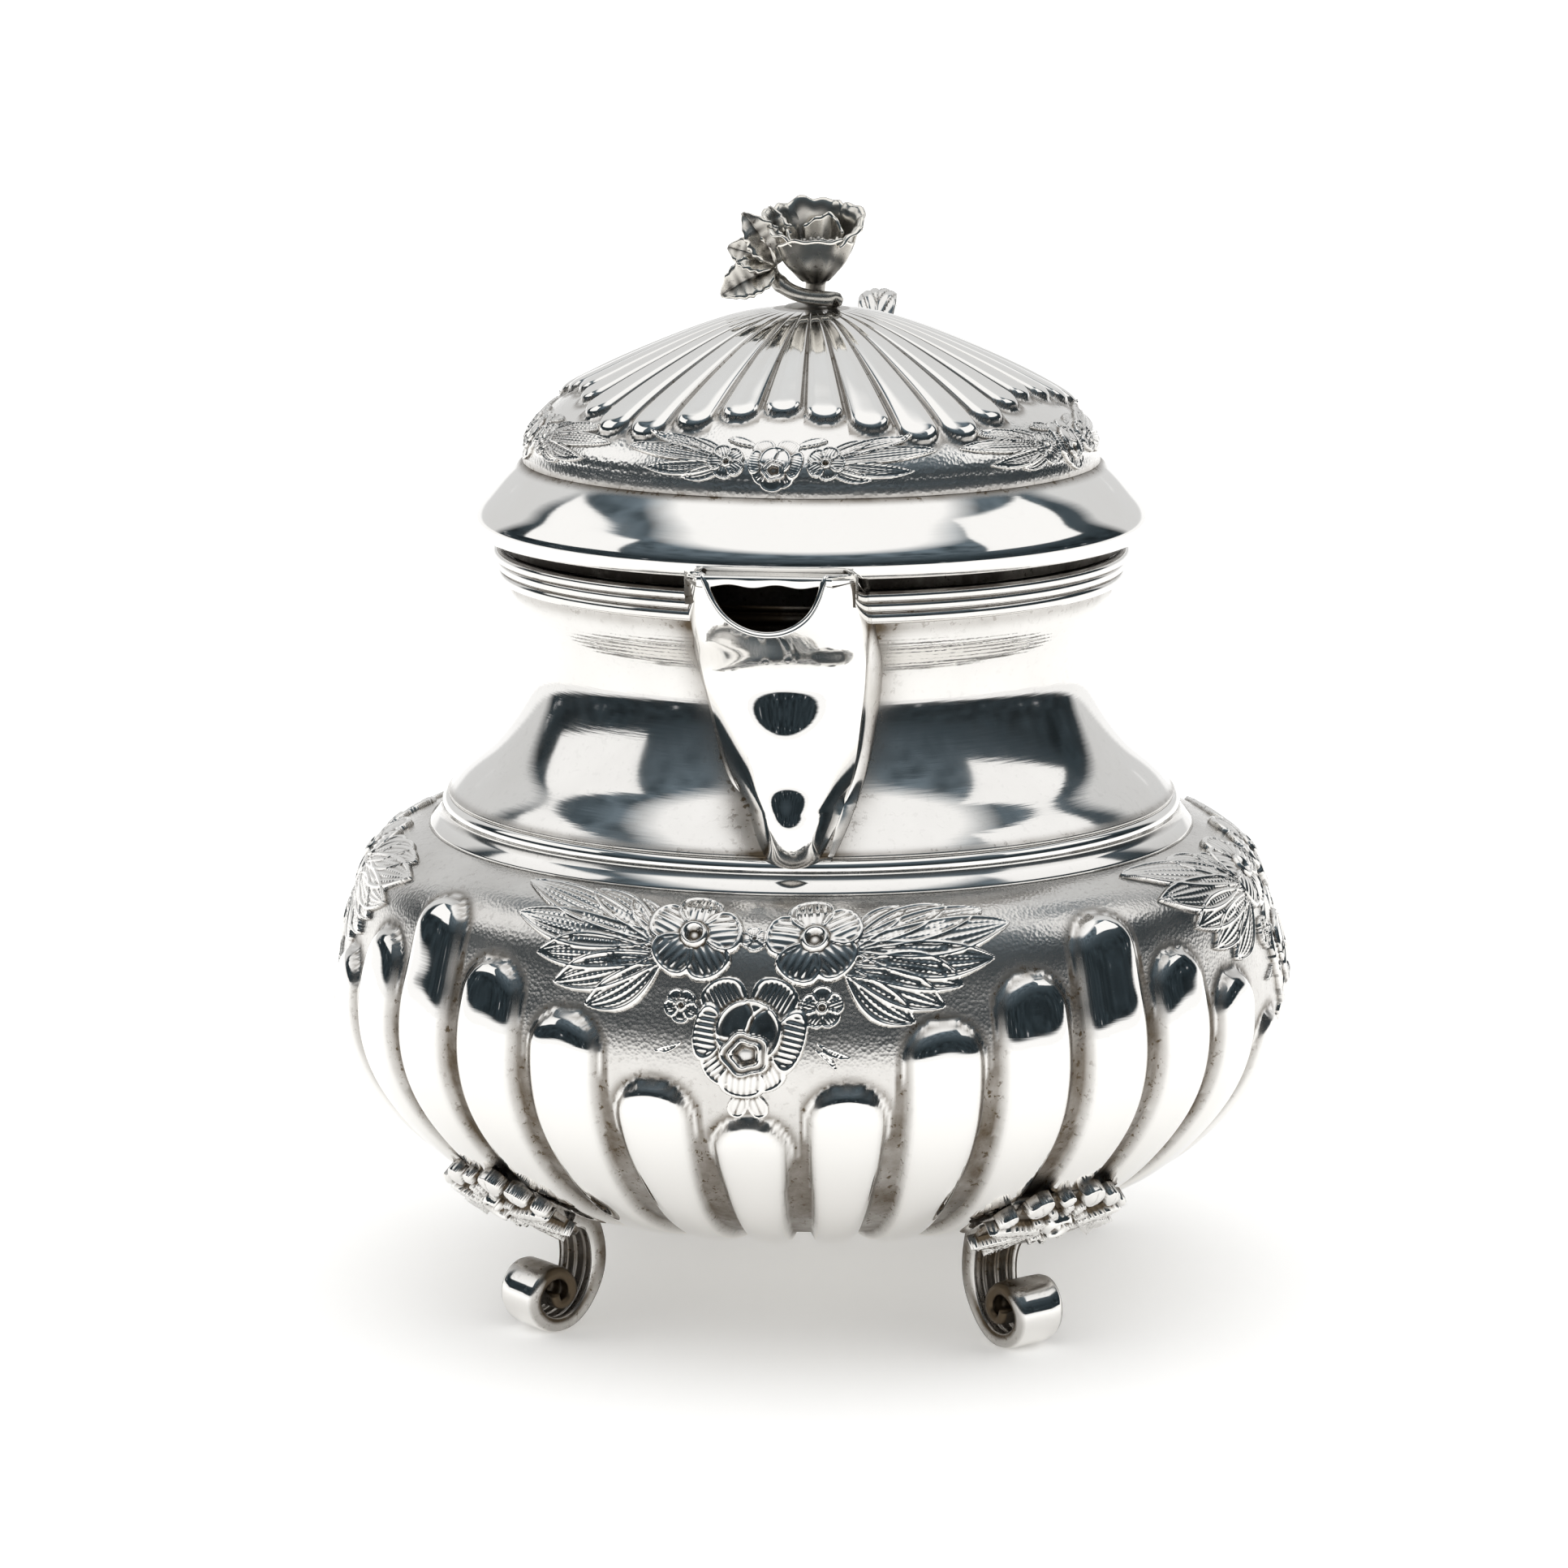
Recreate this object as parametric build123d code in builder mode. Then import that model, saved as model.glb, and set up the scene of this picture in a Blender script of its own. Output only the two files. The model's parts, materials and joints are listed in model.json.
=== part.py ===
"""Silver teapot: lobed bowl on four scroll feet, waisted neck with a beak spout, hinged lid with a rose
finial, and a scroll handle kept cool by two bone insulators.  Millimetres, +Z up, spout towards -Y, handle
towards +Y.  The origin is at the centre of the footprint of the whole pot, on the table."""

import os
from math import cos, hypot, radians, sin, tan

from build123d import *

os.makedirs("parts", exist_ok=True)

# ---- driving dimensions ------------------------------------------------------------------------------
BODY_R = 74.4  # bowl at its widest, over the lobes
HANDLE_REACH = 114.0  # pot axis to the back of the handle
WALL = 1.0  # raised silver sheet
BOWL_FLOOR_Z = 13.6
BOWL_TOP_R, BOWL_TOP_Z = 56.6, 73.4
SHOULDER_R, SHOULDER_Z = 56.2, 77.4  # polished edge where the neck meets the bowl
WAIST_R, WAIST_Z = 42.1, 99.2
MOUTH_Z = 115.4  # top of the neck
COLLAR_R = 48.8
LID_RIM_R, LID_RIM_Z = 51.7, 120.9
LID_EDGE_Z = 118.1  # underside of the lid's rim
DOME_R, DOME_Z = 44.0, 128.5  # where the chased dome stands on the lid's rim
LID_TOP_Z = 151.8
FINIAL_TOP_Z = 168.6
BEZEL_R, BEZEL_Z = 45.0, 111.2  # ring under the lid that centres it in the mouth
LID_GAP = 0.3  # lid's shoulder over the neck, when shut

HINGE_Y, HINGE_Z = 53.8, 116.7  # hinge axis, behind the pot axis
KNUCKLE_R, PIN_R = 1.8, 0.75
KNUCKLE_LENGTH, KNUCKLE_GAP = 3.6, 0.15
RUNNING_CLEARANCE = 0.05

FOOT_WIDTH = 8.2
FOOT_ANGLES = {"front_right": -45, "back_right": 45, "back_left": 135, "front_left": -135}
SCROLL_R, SCROLL_OUT = 5.6, 49.8
PAD_DEPTH = 0.15  # worn off the bottom of each scroll, which leaves it a flat pad
PLATE_ARC, PLATE_THICK = 27.0, 1.8  # flower plate that joins a foot to the bowl

BAR_R = 3.7  # handle
SOCKET_R, SPIGOT_R, SPIGOT_LENGTH = 5.0, 2.5, 5.0
INSULATOR_R, INSULATOR_THICK = 4.6, 3.0
HANDLE_PIN_R = 0.7
UPPER_ROOT, UPPER_SLOPE, UPPER_SOCKET = (42.0, 102.6), 10.0, 15.0  # height and slope of the upper socket
LOWER_ROOT, LOWER_SLOPE, LOWER_SOCKET = (72.5, 45.0), 0.0, 12.0

AXIS_Y = (BODY_R - HANDLE_REACH) / 2  # pot axis, so that the footprint is centred on the origin

# ---- planes and small helpers ------------------------------------------------------------------------
CENTRE = (0, AXIS_Y, 0)
POT_AXIS = Axis(CENTRE, (0, 0, 1))
FACE = Plane(origin=CENTRE, x_dir=(1, 0, 0), z_dir=(0, -1, 0))  # radius, height
SIDE = Plane(origin=CENTRE, x_dir=(0, 1, 0), z_dir=(1, 0, 0))  # distance behind the axis, height


def radial_plane(angle):
    """Upright plane through the pot axis whose x runs outwards at that angle, counted from +X."""
    a = radians(angle)
    return Plane(origin=CENTRE, x_dir=(cos(a), sin(a), 0), z_dir=(sin(a), -cos(a), 0))


def level(z):
    """Horizontal plane centred on the pot axis."""
    return Plane(origin=(0, AXIS_Y, z))


def along(root, slope, distance):
    """Point that far from root on a line that runs backwards and rises at slope degrees."""
    return root[0] + distance * cos(radians(slope)), root[1] + distance * sin(radians(slope))


def across(root, slope, distance):
    """Plane square to that line, at that distance from its root."""
    y, z = along(root, slope, distance)
    a = radians(slope)
    return Plane(origin=(0, AXIS_Y + y, z), x_dir=(1, 0, 0), z_dir=(0, cos(a), sin(a)))


def soft_radii(points):
    """For each inner corner of a route, an arc as large as its two runs leave room for."""
    radii = []
    for a, b, c in zip(points, points[1:], points[2:]):
        before, after = Vector(*b) - Vector(*a), Vector(*c) - Vector(*b)
        turn = radians(before.get_angle(after))
        radii.append(0.45 * min(before.length, after.length) / tan(turn / 2))
    return radii


def inset(points, distance):
    """The same outline moved sideways, to the left of its direction, and kept on its side of the axis."""
    moved = []
    for i, (r, z) in enumerate(points):
        before = points[max(i - 1, 0)]
        after = points[min(i + 1, len(points) - 1)]
        dr, dz = after[0] - before[0], after[1] - before[1]
        length = hypot(dr, dz)
        moved.append((max(r - distance * dz / length, 0), z + distance * dr / length))
    return moved


def sheet(outer, inner):
    """Closed outline of a sheet that lies between two smooth lines, which run the same way."""
    with BuildLine() as outline:
        Spline(*outer)
        Line(outer[-1], inner[-1])
        Spline(*inner)
        Line(inner[0], outer[0])
    return outline.edges()


def rods(planes, radius, length):
    """Round rods that stand on those planes."""
    with BuildPart() as tools:
        with BuildSketch(*planes):
            Circle(radius)
        extrude(amount=length)
    return tools.part


# ---- outlines, radius and height ---------------------------------------------------------------------
BOWL = [
    (0, BOWL_FLOOR_Z), (24, 14.0), (40, 15.6), (51, 19.0), (60.5, 24.6), (67.0, 31.0), (71.8, 38.0),
    (BODY_R, 47.0), (73.6, 55.5), (71.0, 62.6), (66.6, 69.0), (61.6, 72.2), (BOWL_TOP_R, BOWL_TOP_Z),
]  # fmt: skip
NECK = [
    (SHOULDER_R - 0.7, SHOULDER_Z + 0.3), (53.6, 80.6), (49.8, 83.6), (46.6, 87.4), (44.0, 92.2),
    (WAIST_R, WAIST_Z), (43.2, 103.4), (45.2, 106.6), (46.4, 110.2), (46.4, MOUTH_Z),
]  # fmt: skip
LID_RIM = [
    (51.0, LID_EDGE_Z), (LID_RIM_R, 119.3), (LID_RIM_R, LID_RIM_Z), (51.0, 123.0), (49.2, 125.2),
    (46.8, 127.2), (DOME_R, DOME_Z),
]  # fmt: skip
DOME = [
    (DOME_R - 0.5, DOME_Z - 1.2), (DOME_R, DOME_Z), (44.2, 130.6), (43.4, 133.4), (41.4, 136.2),
    (38.2, 138.6), (33.4, 141.2), (25.0, 145.2), (16.0, 148.9), (8.0, 151.1), (0, LID_TOP_Z),
]  # fmt: skip

# ---- bowl, shoulder ring, neck, collar ---------------------------------------------------------------
with BuildPart() as bowl:
    with BuildSketch(FACE):
        make_face(sheet(BOWL, inset(BOWL, WALL)))
    revolve(axis=POT_AXIS)

with BuildPart() as bowl_core:  # the bowl as if it were solid, to cut its neighbours with
    with BuildSketch(FACE):
        with BuildLine():
            Spline(*BOWL)
            Polyline(BOWL[-1], (0, BOWL_TOP_Z), BOWL[0])
        make_face()
    revolve(axis=POT_AXIS)

RING_IN = 52.6
with BuildPart() as shoulder_ring:
    with BuildSketch(FACE):
        with BuildLine():
            Polyline((RING_IN, 72.9), (57.4, 72.9), (57.6, 73.6), (57.0, 74.6), (SHOULDER_R, 75.6))
            ThreePointArc((SHOULDER_R, 75.6), (SHOULDER_R + 0.2, 76.5), (SHOULDER_R - 0.5, SHOULDER_Z))
            Polyline((SHOULDER_R - 0.5, SHOULDER_Z), (RING_IN, SHOULDER_Z), (RING_IN, 72.9))
        make_face()
    revolve(axis=POT_AXIS)
    add(bowl.part, mode=Mode.SUBTRACT)
    with BuildSketch(level(72.0)):
        Circle(BOWL_TOP_R - 0.6)
    extrude(amount=BOWL_TOP_Z - 72.0, mode=Mode.SUBTRACT)

STRAINER_HOLE_R, STRAINER_SPACING, STRAINER_Z = 1.1, 2.0, 99.0
with BuildPart() as neck:
    with BuildSketch(FACE):
        make_face(sheet(NECK, inset(NECK, WALL)))
    revolve(axis=POT_AXIS)
    add(shoulder_ring.part, mode=Mode.SUBTRACT)
    with BuildSketch(Plane(origin=(2.6, AXIS_Y - 30, STRAINER_Z), x_dir=(1, 0, 0), z_dir=(0, -1, 0))):
        with HexLocations(STRAINER_SPACING, 4, 4):
            Circle(STRAINER_HOLE_R)
    extrude(amount=30, mode=Mode.SUBTRACT)

with BuildPart() as neck_core:  # everything inside the neck's outer face
    with BuildSketch(FACE):
        with BuildLine():
            Spline(*NECK)
            Polyline(NECK[-1], (0, MOUTH_Z), (0, 70.0), (NECK[0][0], 70.0), NECK[0])
        make_face()
    revolve(axis=POT_AXIS)

BEAD_R, COLLAR_IN, COLLAR_FOOT_Z = 1.15, 45.6, 110.4
with BuildPart() as mouth_collar:
    with BuildSketch(FACE):
        with BuildLine():
            Polyline((COLLAR_IN, COLLAR_FOOT_Z), (47.2, COLLAR_FOOT_Z), (47.6, 111.2))
            ThreePointArc((47.6, 111.2), (47.6 + BEAD_R, 112.3), (47.6, 113.4))
            ThreePointArc((47.6, 113.4), (COLLAR_R, 114.4), (47.7, MOUTH_Z))
            Polyline((47.7, MOUTH_Z), (COLLAR_IN, MOUTH_Z), (COLLAR_IN, COLLAR_FOOT_Z))
        make_face()
    revolve(axis=POT_AXIS)
    add(neck_core.part, mode=Mode.SUBTRACT)

# ---- spout: a covered beak, open to the strainer holes behind it --------------------------------------
SPOUT_WALL = 1.1
SPOUT_TOP_Z = 119.6
SPOUT_ROOT, SPOUT_KNEE = 40.0, 48.0  # straight sides end here and the round front begins
BEAK = [(76.4, 2.6, 57.6), (80.0, 4.6, 59.4), (85.0, 7.4, 59.8), (92.0, 9.6, 58.0), (101.0, 11.2, 57.8),
        (108.0, 12.3, 60.0), (114.0, 12.8, 63.0), (SPOUT_TOP_Z, 12.9, 65.6)]  # fmt: skip
LIP, PLATE_FRONT = (61.4, 110.8), (56.8, SPOUT_TOP_Z)  # ends of the slanted mouth, reach and height
ROOF_R = LID_RIM_R + 0.9  # the roof steps down here to let the lid's rim pass


def beak_lean(z):
    """Sideways shift of the hand-set beak, which leans as it rises."""
    return 5.0 - 4.0 * (z - BEAK[0][0]) / (SPOUT_TOP_Z - BEAK[0][0])


def beak(wall):
    """The beak as a solid, or with a wall taken off, the space inside it."""
    with BuildPart() as solid:
        for z, half, reach in BEAK:
            width = max(half - wall, 1.2)
            with BuildSketch(level(min(z, SPOUT_TOP_Z - wall))):
                with BuildLine():
                    Line((beak_lean(z) - width, -SPOUT_ROOT), (beak_lean(z) - width, -SPOUT_KNEE))
                    EllipticalCenterArc(
                        (beak_lean(z), -SPOUT_KNEE), width, reach - wall - SPOUT_KNEE, 180, arc_size=180
                    )
                    Line((beak_lean(z) + width, -SPOUT_KNEE), (beak_lean(z) + width, -SPOUT_ROOT))
                    Line((beak_lean(z) + width, -SPOUT_ROOT), (beak_lean(z) - width, -SPOUT_ROOT))
                make_face()
        loft()
    return solid.part


with BuildPart() as duct:
    add(beak(SPOUT_WALL))
    with BuildSketch(level(MOUTH_Z - SPOUT_WALL)):
        Circle(ROOF_R + SPOUT_WALL)
    extrude(amount=10, mode=Mode.SUBTRACT)

with BuildPart() as spout:
    add(beak(0))
    for hollow in (duct, neck_core, bowl_core, shoulder_ring, mouth_collar):
        add(hollow.part, mode=Mode.SUBTRACT)
    with BuildSketch(level(MOUTH_Z)):
        Circle(ROOF_R)
    extrude(amount=10, mode=Mode.SUBTRACT)
    with BuildSketch(SIDE):
        Polygon((-LIP[0], LIP[1]), (-PLATE_FRONT[0], PLATE_FRONT[1]), (-80, SPOUT_TOP_Z), (-80, LIP[1]),
                align=None)  # fmt: skip
    extrude(amount=30, both=True, mode=Mode.SUBTRACT)

# ---- lid ---------------------------------------------------------------------------------------------
SEAT_R, SEAT_Z = 47.6, MOUTH_Z + LID_GAP  # the lid rests on the mouth by this step
with BuildPart() as lid_bezel:
    with BuildSketch(FACE):
        Polygon(
            (BEZEL_R - WALL, BEZEL_Z), (BEZEL_R, BEZEL_Z), (BEZEL_R, SEAT_Z), (SEAT_R, SEAT_Z),
            (SEAT_R, 117.3), (50.4, 117.6), (50.9, LID_EDGE_Z), (BEZEL_R - WALL, LID_EDGE_Z), align=None,
        )  # fmt: skip
    revolve(axis=POT_AXIS)

with BuildPart() as lid_rim:
    with BuildSketch(FACE):
        make_face(sheet(LID_RIM, inset(LID_RIM, WALL)))
    revolve(axis=POT_AXIS)
    with BuildSketch(level(LID_EDGE_Z)):
        Circle(LID_RIM_R)
    extrude(amount=-3, mode=Mode.SUBTRACT)

STUD_R = 1.5
with BuildPart() as lid_dome:
    with BuildSketch(FACE):
        make_face(sheet(DOME, inset(DOME, WALL)))
    revolve(axis=POT_AXIS)
    add(lid_rim.part, mode=Mode.SUBTRACT)
    with BuildSketch(level(LID_TOP_Z - 4)):
        Circle(STUD_R)
    extrude(amount=8, mode=Mode.SUBTRACT)

# ---- finial ------------------------------------------------------------------------------------------
ROSE_R, ROSE_HALF, ROSE_TILT = 8.0, 6.4, 12.0
ROSE_Z = FINIAL_TOP_Z - 6.7
WASHER_Z, NUT_Z, STUD_END_Z = 149.4, 147.0, 146.4
ROSE_PLANE = Plane(origin=(0, AXIS_Y, ROSE_Z), x_dir=(1, 0, 0),
                   z_dir=(0, -sin(radians(ROSE_TILT)), cos(radians(ROSE_TILT))))  # fmt: skip

with BuildPart() as finial_rose:
    with BuildSketch(Plane(origin=ROSE_PLANE.origin, x_dir=ROSE_PLANE.x_dir, z_dir=-ROSE_PLANE.y_dir)):
        with BuildLine():
            Spline((0, -ROSE_HALF), (5.2, -5.0), (ROSE_R, 0.5), (6.2, 5.0), (0, 5.6))
            Line((0, 5.6), (0, -ROSE_HALF))
        make_face()
    revolve(axis=Axis(ROSE_PLANE.origin, ROSE_PLANE.z_dir))

LOOP_R, LOOP_TUBE = 4.0, 1.2
with BuildPart() as finial_stem:
    with BuildSketch(level(STUD_END_Z)):
        Circle(STUD_R)
    extrude(amount=LID_TOP_Z + 4.0 - STUD_END_Z)
    with BuildSketch(level(LID_TOP_Z - 0.8)):
        Circle(4.6)
    extrude(amount=2.0, taper=25)
    with BuildSketch(Plane(origin=(-LOOP_R, AXIS_Y, LID_TOP_Z + 1.6 + LOOP_R + LOOP_R * 0.1))):
        with Locations((LOOP_R, 0)):
            Circle(LOOP_TUBE)
    revolve(axis=Axis((-LOOP_R, AXIS_Y, LID_TOP_Z + 2.0 + LOOP_R), (0, 1, 0)))
    add(finial_rose.part, mode=Mode.SUBTRACT)
    add(lid_dome.part, mode=Mode.SUBTRACT)

LEAF_LENGTH, LEAF_HALF, LEAF_THICK = 11.0, 3.4, 1.2
LEAF_SLOPES = (62.0, 30.0, 95.0)
with BuildPart() as finial_leaves:
    for slope in LEAF_SLOPES:
        a = radians(slope)
        out = Vector(-cos(a), -0.25, sin(a)).normalized()
        face = out.cross(Vector(0, 1, 0)).cross(out)
        with BuildSketch(Plane(origin=(-4.2, AXIS_Y - 1.6, LID_TOP_Z + 1.6), x_dir=out, z_dir=face)):
            with BuildLine():
                ThreePointArc((0, 0), (LEAF_LENGTH / 2, LEAF_HALF), (LEAF_LENGTH, 0))
                ThreePointArc((LEAF_LENGTH, 0), (LEAF_LENGTH / 2, -LEAF_HALF), (0, 0))
            make_face()
        extrude(amount=LEAF_THICK / 2, both=True)
    for neighbour in (finial_rose, finial_stem, lid_dome):
        add(neighbour.part, mode=Mode.SUBTRACT)

with BuildPart() as finial_washer:
    with BuildSketch(level(WASHER_Z)):
        Circle(4.8)
        Circle(STUD_R, mode=Mode.SUBTRACT)
    extrude(amount=1.9)
    add(lid_dome.part, mode=Mode.SUBTRACT)

with BuildPart() as finial_nut:
    with BuildSketch(level(NUT_Z)):
        RegularPolygon(3.2, 6)
        Circle(STUD_R, mode=Mode.SUBTRACT)
    extrude(amount=WASHER_Z - NUT_Z)

# ---- lid hinge ---------------------------------------------------------------------------------------
HINGE = Plane(origin=(0, AXIS_Y + HINGE_Y, HINGE_Z), x_dir=(0, 1, 0), z_dir=(1, 0, 0))
KNUCKLE_PITCH = KNUCKLE_LENGTH + KNUCKLE_GAP
ARM_THICK = 1.3
POT_ARM_Z, LID_ARM_Z = -3.4, LID_EDGE_Z - HINGE_Z - ARM_THICK  # undersides, from the hinge axis


WEB_LENGTH = 2.6  # strip that joins a leaf's arms, beside the pot or the lid


def make_hinge_leaf(places, arm_z, arm_length, neighbours):
    """Knuckles at those places along the axis, each on an arm, joined by a strip against the neighbours."""
    with BuildPart() as leaf:
        for place in places:
            with BuildSketch(HINGE.offset(place * KNUCKLE_PITCH)):
                Circle(KNUCKLE_R)
                with Locations((-arm_length, arm_z)):
                    Rectangle(arm_length, ARM_THICK, align=Align.MIN)
                with Locations((-KNUCKLE_R, min(arm_z, 0))):
                    Rectangle(KNUCKLE_R, max(-arm_z, ARM_THICK), align=Align.MIN)
                Circle(PIN_R + RUNNING_CLEARANCE, mode=Mode.SUBTRACT)
            extrude(amount=KNUCKLE_LENGTH / 2, both=True)
        half = max(places) * KNUCKLE_PITCH + KNUCKLE_LENGTH / 2
        with BuildSketch(HINGE.offset(-half)):
            with Locations((-arm_length, arm_z)):
                Rectangle(WEB_LENGTH, ARM_THICK, align=Align.MIN)
        extrude(amount=2 * half)
        for neighbour in neighbours:
            add(neighbour.part, mode=Mode.SUBTRACT)
    return leaf.part

HINGE_HALF = 2.5 * KNUCKLE_PITCH - KNUCKLE_GAP / 2
with BuildPart() as hinge_pin:
    with BuildSketch(HINGE.offset(-HINGE_HALF)):
        Circle(PIN_R)
    extrude(amount=2 * HINGE_HALF)
    for end in (-HINGE_HALF - 0.6, HINGE_HALF):
        with BuildSketch(HINGE.offset(end)):
            Circle(1.3)
        extrude(amount=0.6)

# ---- feet --------------------------------------------------------------------------------------------
SCROLL_Z = SCROLL_R - PAD_DEPTH
PLATE_LINE = [(43.0, 16.2), (51, 19.0), (58.0, 22.8)]  # on the bowl, under the middle of the flower plate


def make_foot(angle):
    """Leg, scroll and flower plate of one foot."""
    with BuildPart() as foot:
        with BuildSketch(radial_plane(angle)):
            with BuildLine():
                ThreePointArc((37.6, 17.0), (40.6, 8.2), (SCROLL_OUT - 1.4, 0.2))
                Line((SCROLL_OUT - 1.4, 0.2), (SCROLL_OUT, SCROLL_Z + SCROLL_R - 0.3))
                ThreePointArc((SCROLL_OUT, SCROLL_Z + SCROLL_R - 0.3), (46.2, 13.0), (46.6, 20.0))
                Line((46.6, 20.0), (37.6, 17.0))
            make_face()
            with Locations((SCROLL_OUT, SCROLL_Z)):
                Circle(SCROLL_R)
        extrude(amount=FOOT_WIDTH / 2, both=True)
        with BuildSketch(radial_plane(angle - PLATE_ARC / 2)):
            make_face(sheet(inset(PLATE_LINE, -PLATE_THICK), inset(PLATE_LINE, WALL / 2)))
        revolve(axis=POT_AXIS, revolution_arc=PLATE_ARC)
        add(bowl_core.part, mode=Mode.SUBTRACT)
        with BuildSketch(level(-2)):
            Circle(70)
        extrude(amount=2, mode=Mode.SUBTRACT)
    return foot.part


# ---- handle ------------------------------------------------------------------------------------------
UPPER_END = along(UPPER_ROOT, UPPER_SLOPE, UPPER_SOCKET + INSULATOR_THICK)
LOWER_END = along(LOWER_ROOT, LOWER_SLOPE, LOWER_SOCKET + INSULATOR_THICK)
BACK_Y = HANDLE_REACH - BAR_R
HANDLE_ROUTE = [
    UPPER_END, along(UPPER_ROOT, UPPER_SLOPE, 30.5), (80.0, 117.5), (83.5, 130.5), (93.5, 137.2),
    (104.8, 131.5),
    (BACK_Y, 116.0), (BACK_Y, 95.0), (107.4, 74.0), (102.6, 56.0), (95.0, LOWER_END[1]), LOWER_END,
]  # fmt: skip


ENDS = ((UPPER_ROOT, UPPER_SLOPE, UPPER_SOCKET), (LOWER_ROOT, LOWER_SLOPE, LOWER_SOCKET))
PIN_PLACES = [
    Plane(origin=(-SOCKET_R - 1, across(root, slope, d).origin.Y, across(root, slope, d).origin.Z),
          x_dir=(0, 1, 0), z_dir=(1, 0, 0))
    for root, slope, socket in ENDS
    for d in (socket - SPIGOT_LENGTH / 2, socket + INSULATOR_THICK + SPIGOT_LENGTH / 2)
]  # fmt: skip


pin_holes = rods(PIN_PLACES, HANDLE_PIN_R, 2 * SOCKET_R + 2)


def make_socket(root, slope, length):
    """Tapered socket that stands on the pot, bored for the insulator's spigot."""
    with BuildPart() as socket:
        with BuildSketch(across(root, slope, 0)):
            Circle(SOCKET_R + 1.6)
        with BuildSketch(across(root, slope, length)):
            Circle(INSULATOR_R)
        loft()
        add(rods([across(root, slope, length - SPIGOT_LENGTH)], SPIGOT_R, SPIGOT_LENGTH), mode=Mode.SUBTRACT)
        add(pin_holes, mode=Mode.SUBTRACT)
        for core in (neck_core, bowl_core, mouth_collar):
            add(core.part, mode=Mode.SUBTRACT)
    return socket.part


def make_insulator(root, slope, length):
    """Bone disc with a spigot on each side."""
    with BuildPart() as insulator:
        with BuildSketch(across(root, slope, length - SPIGOT_LENGTH)):
            Circle(SPIGOT_R)
        extrude(amount=2 * SPIGOT_LENGTH + INSULATOR_THICK)
        with BuildSketch(across(root, slope, length)):
            Circle(INSULATOR_R + 0.6)
        extrude(amount=INSULATOR_THICK)
        add(pin_holes, mode=Mode.SUBTRACT)
    return insulator.part


with BuildPart() as handle:
    with BuildLine(SIDE) as route:
        FilletPolyline(*HANDLE_ROUTE, radius=soft_radii(HANDLE_ROUTE))
    with BuildSketch(across(UPPER_ROOT, UPPER_SLOPE, UPPER_SOCKET + INSULATOR_THICK)):
        Circle(BAR_R)
    sweep(path=route.wires()[0])
    ends = [across(root, slope, socket + INSULATOR_THICK) for root, slope, socket in ENDS]
    add(rods(ends, SPIGOT_R, SPIGOT_LENGTH), mode=Mode.SUBTRACT)
    add(pin_holes, mode=Mode.SUBTRACT)

with BuildPart() as handle_pins:
    with BuildSketch(*[place.offset(1.0 + SOCKET_R - BAR_R) for place in PIN_PLACES]):
        Circle(HANDLE_PIN_R)
    extrude(amount=2 * BAR_R)

THUMB_WIDTH, THUMB_TOP_Z = 6.6, 144.6
with BuildPart() as thumb_leaf:
    with BuildSketch(SIDE):
        with BuildLine():
            ThreePointArc((83.2, 136.0), (86.6, 141.4), (89.6, THUMB_TOP_Z))
            ThreePointArc((89.6, THUMB_TOP_Z), (95.2, 143.4), (100.5, 137.2))
            Line((100.5, 137.2), (83.2, 136.0))
        make_face()
    extrude(amount=THUMB_WIDTH / 2, both=True)
    add(handle.part, mode=Mode.SUBTRACT)
    with BuildSketch(SIDE):
        Polygon((80, 120), (104, 120), (100.5, 137.2), (94.0, 137.8), (84.0, 132.0), align=None)
    extrude(amount=THUMB_WIDTH, both=True, mode=Mode.SUBTRACT)

# ---- write -------------------------------------------------------------------------------------------
pieces = {
    "bowl": bowl.part, "shoulder_ring": shoulder_ring.part, "neck": neck.part,
    "mouth_collar": mouth_collar.part,
    "spout": spout.part, "lid_bezel": lid_bezel.part, "lid_rim": lid_rim.part, "lid_dome": lid_dome.part,
    "finial_rose": finial_rose.part, "finial_stem": finial_stem.part, "finial_leaves": finial_leaves.part,
    "finial_washer": finial_washer.part, "finial_nut": finial_nut.part, "hinge_pin": hinge_pin.part,
    "handle": handle.part, "handle_pins": handle_pins.part, "thumb_leaf": thumb_leaf.part,
    "hinge_pot_leaf": make_hinge_leaf((-2, 0, 2), POT_ARM_Z, 7.6, (neck_core, mouth_collar)),
    "hinge_lid_leaf": make_hinge_leaf((-1, 1), LID_ARM_Z, 6.6, (lid_bezel, lid_rim)),
}  # fmt: skip
for name, (root, slope, length) in zip(("upper", "lower"), ENDS):
    pieces[f"handle_{name}_socket"] = make_socket(root, slope, length)
    pieces[f"insulator_{name}"] = make_insulator(root, slope, length)
for name, angle in FOOT_ANGLES.items():
    pieces[f"foot_{name}"] = make_foot(angle)

for name, piece in pieces.items():
    piece.label = name
    export_step(piece, f"parts/{name}.step")
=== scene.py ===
"""Looks of the silver teapot: chased bowl and lid, polished neck, scroll feet, rose finial and scroll handle.
Shapes are worked out in millimetres from the pot's axis and put in the frame, in metres, by at()."""

import json
import math

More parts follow.
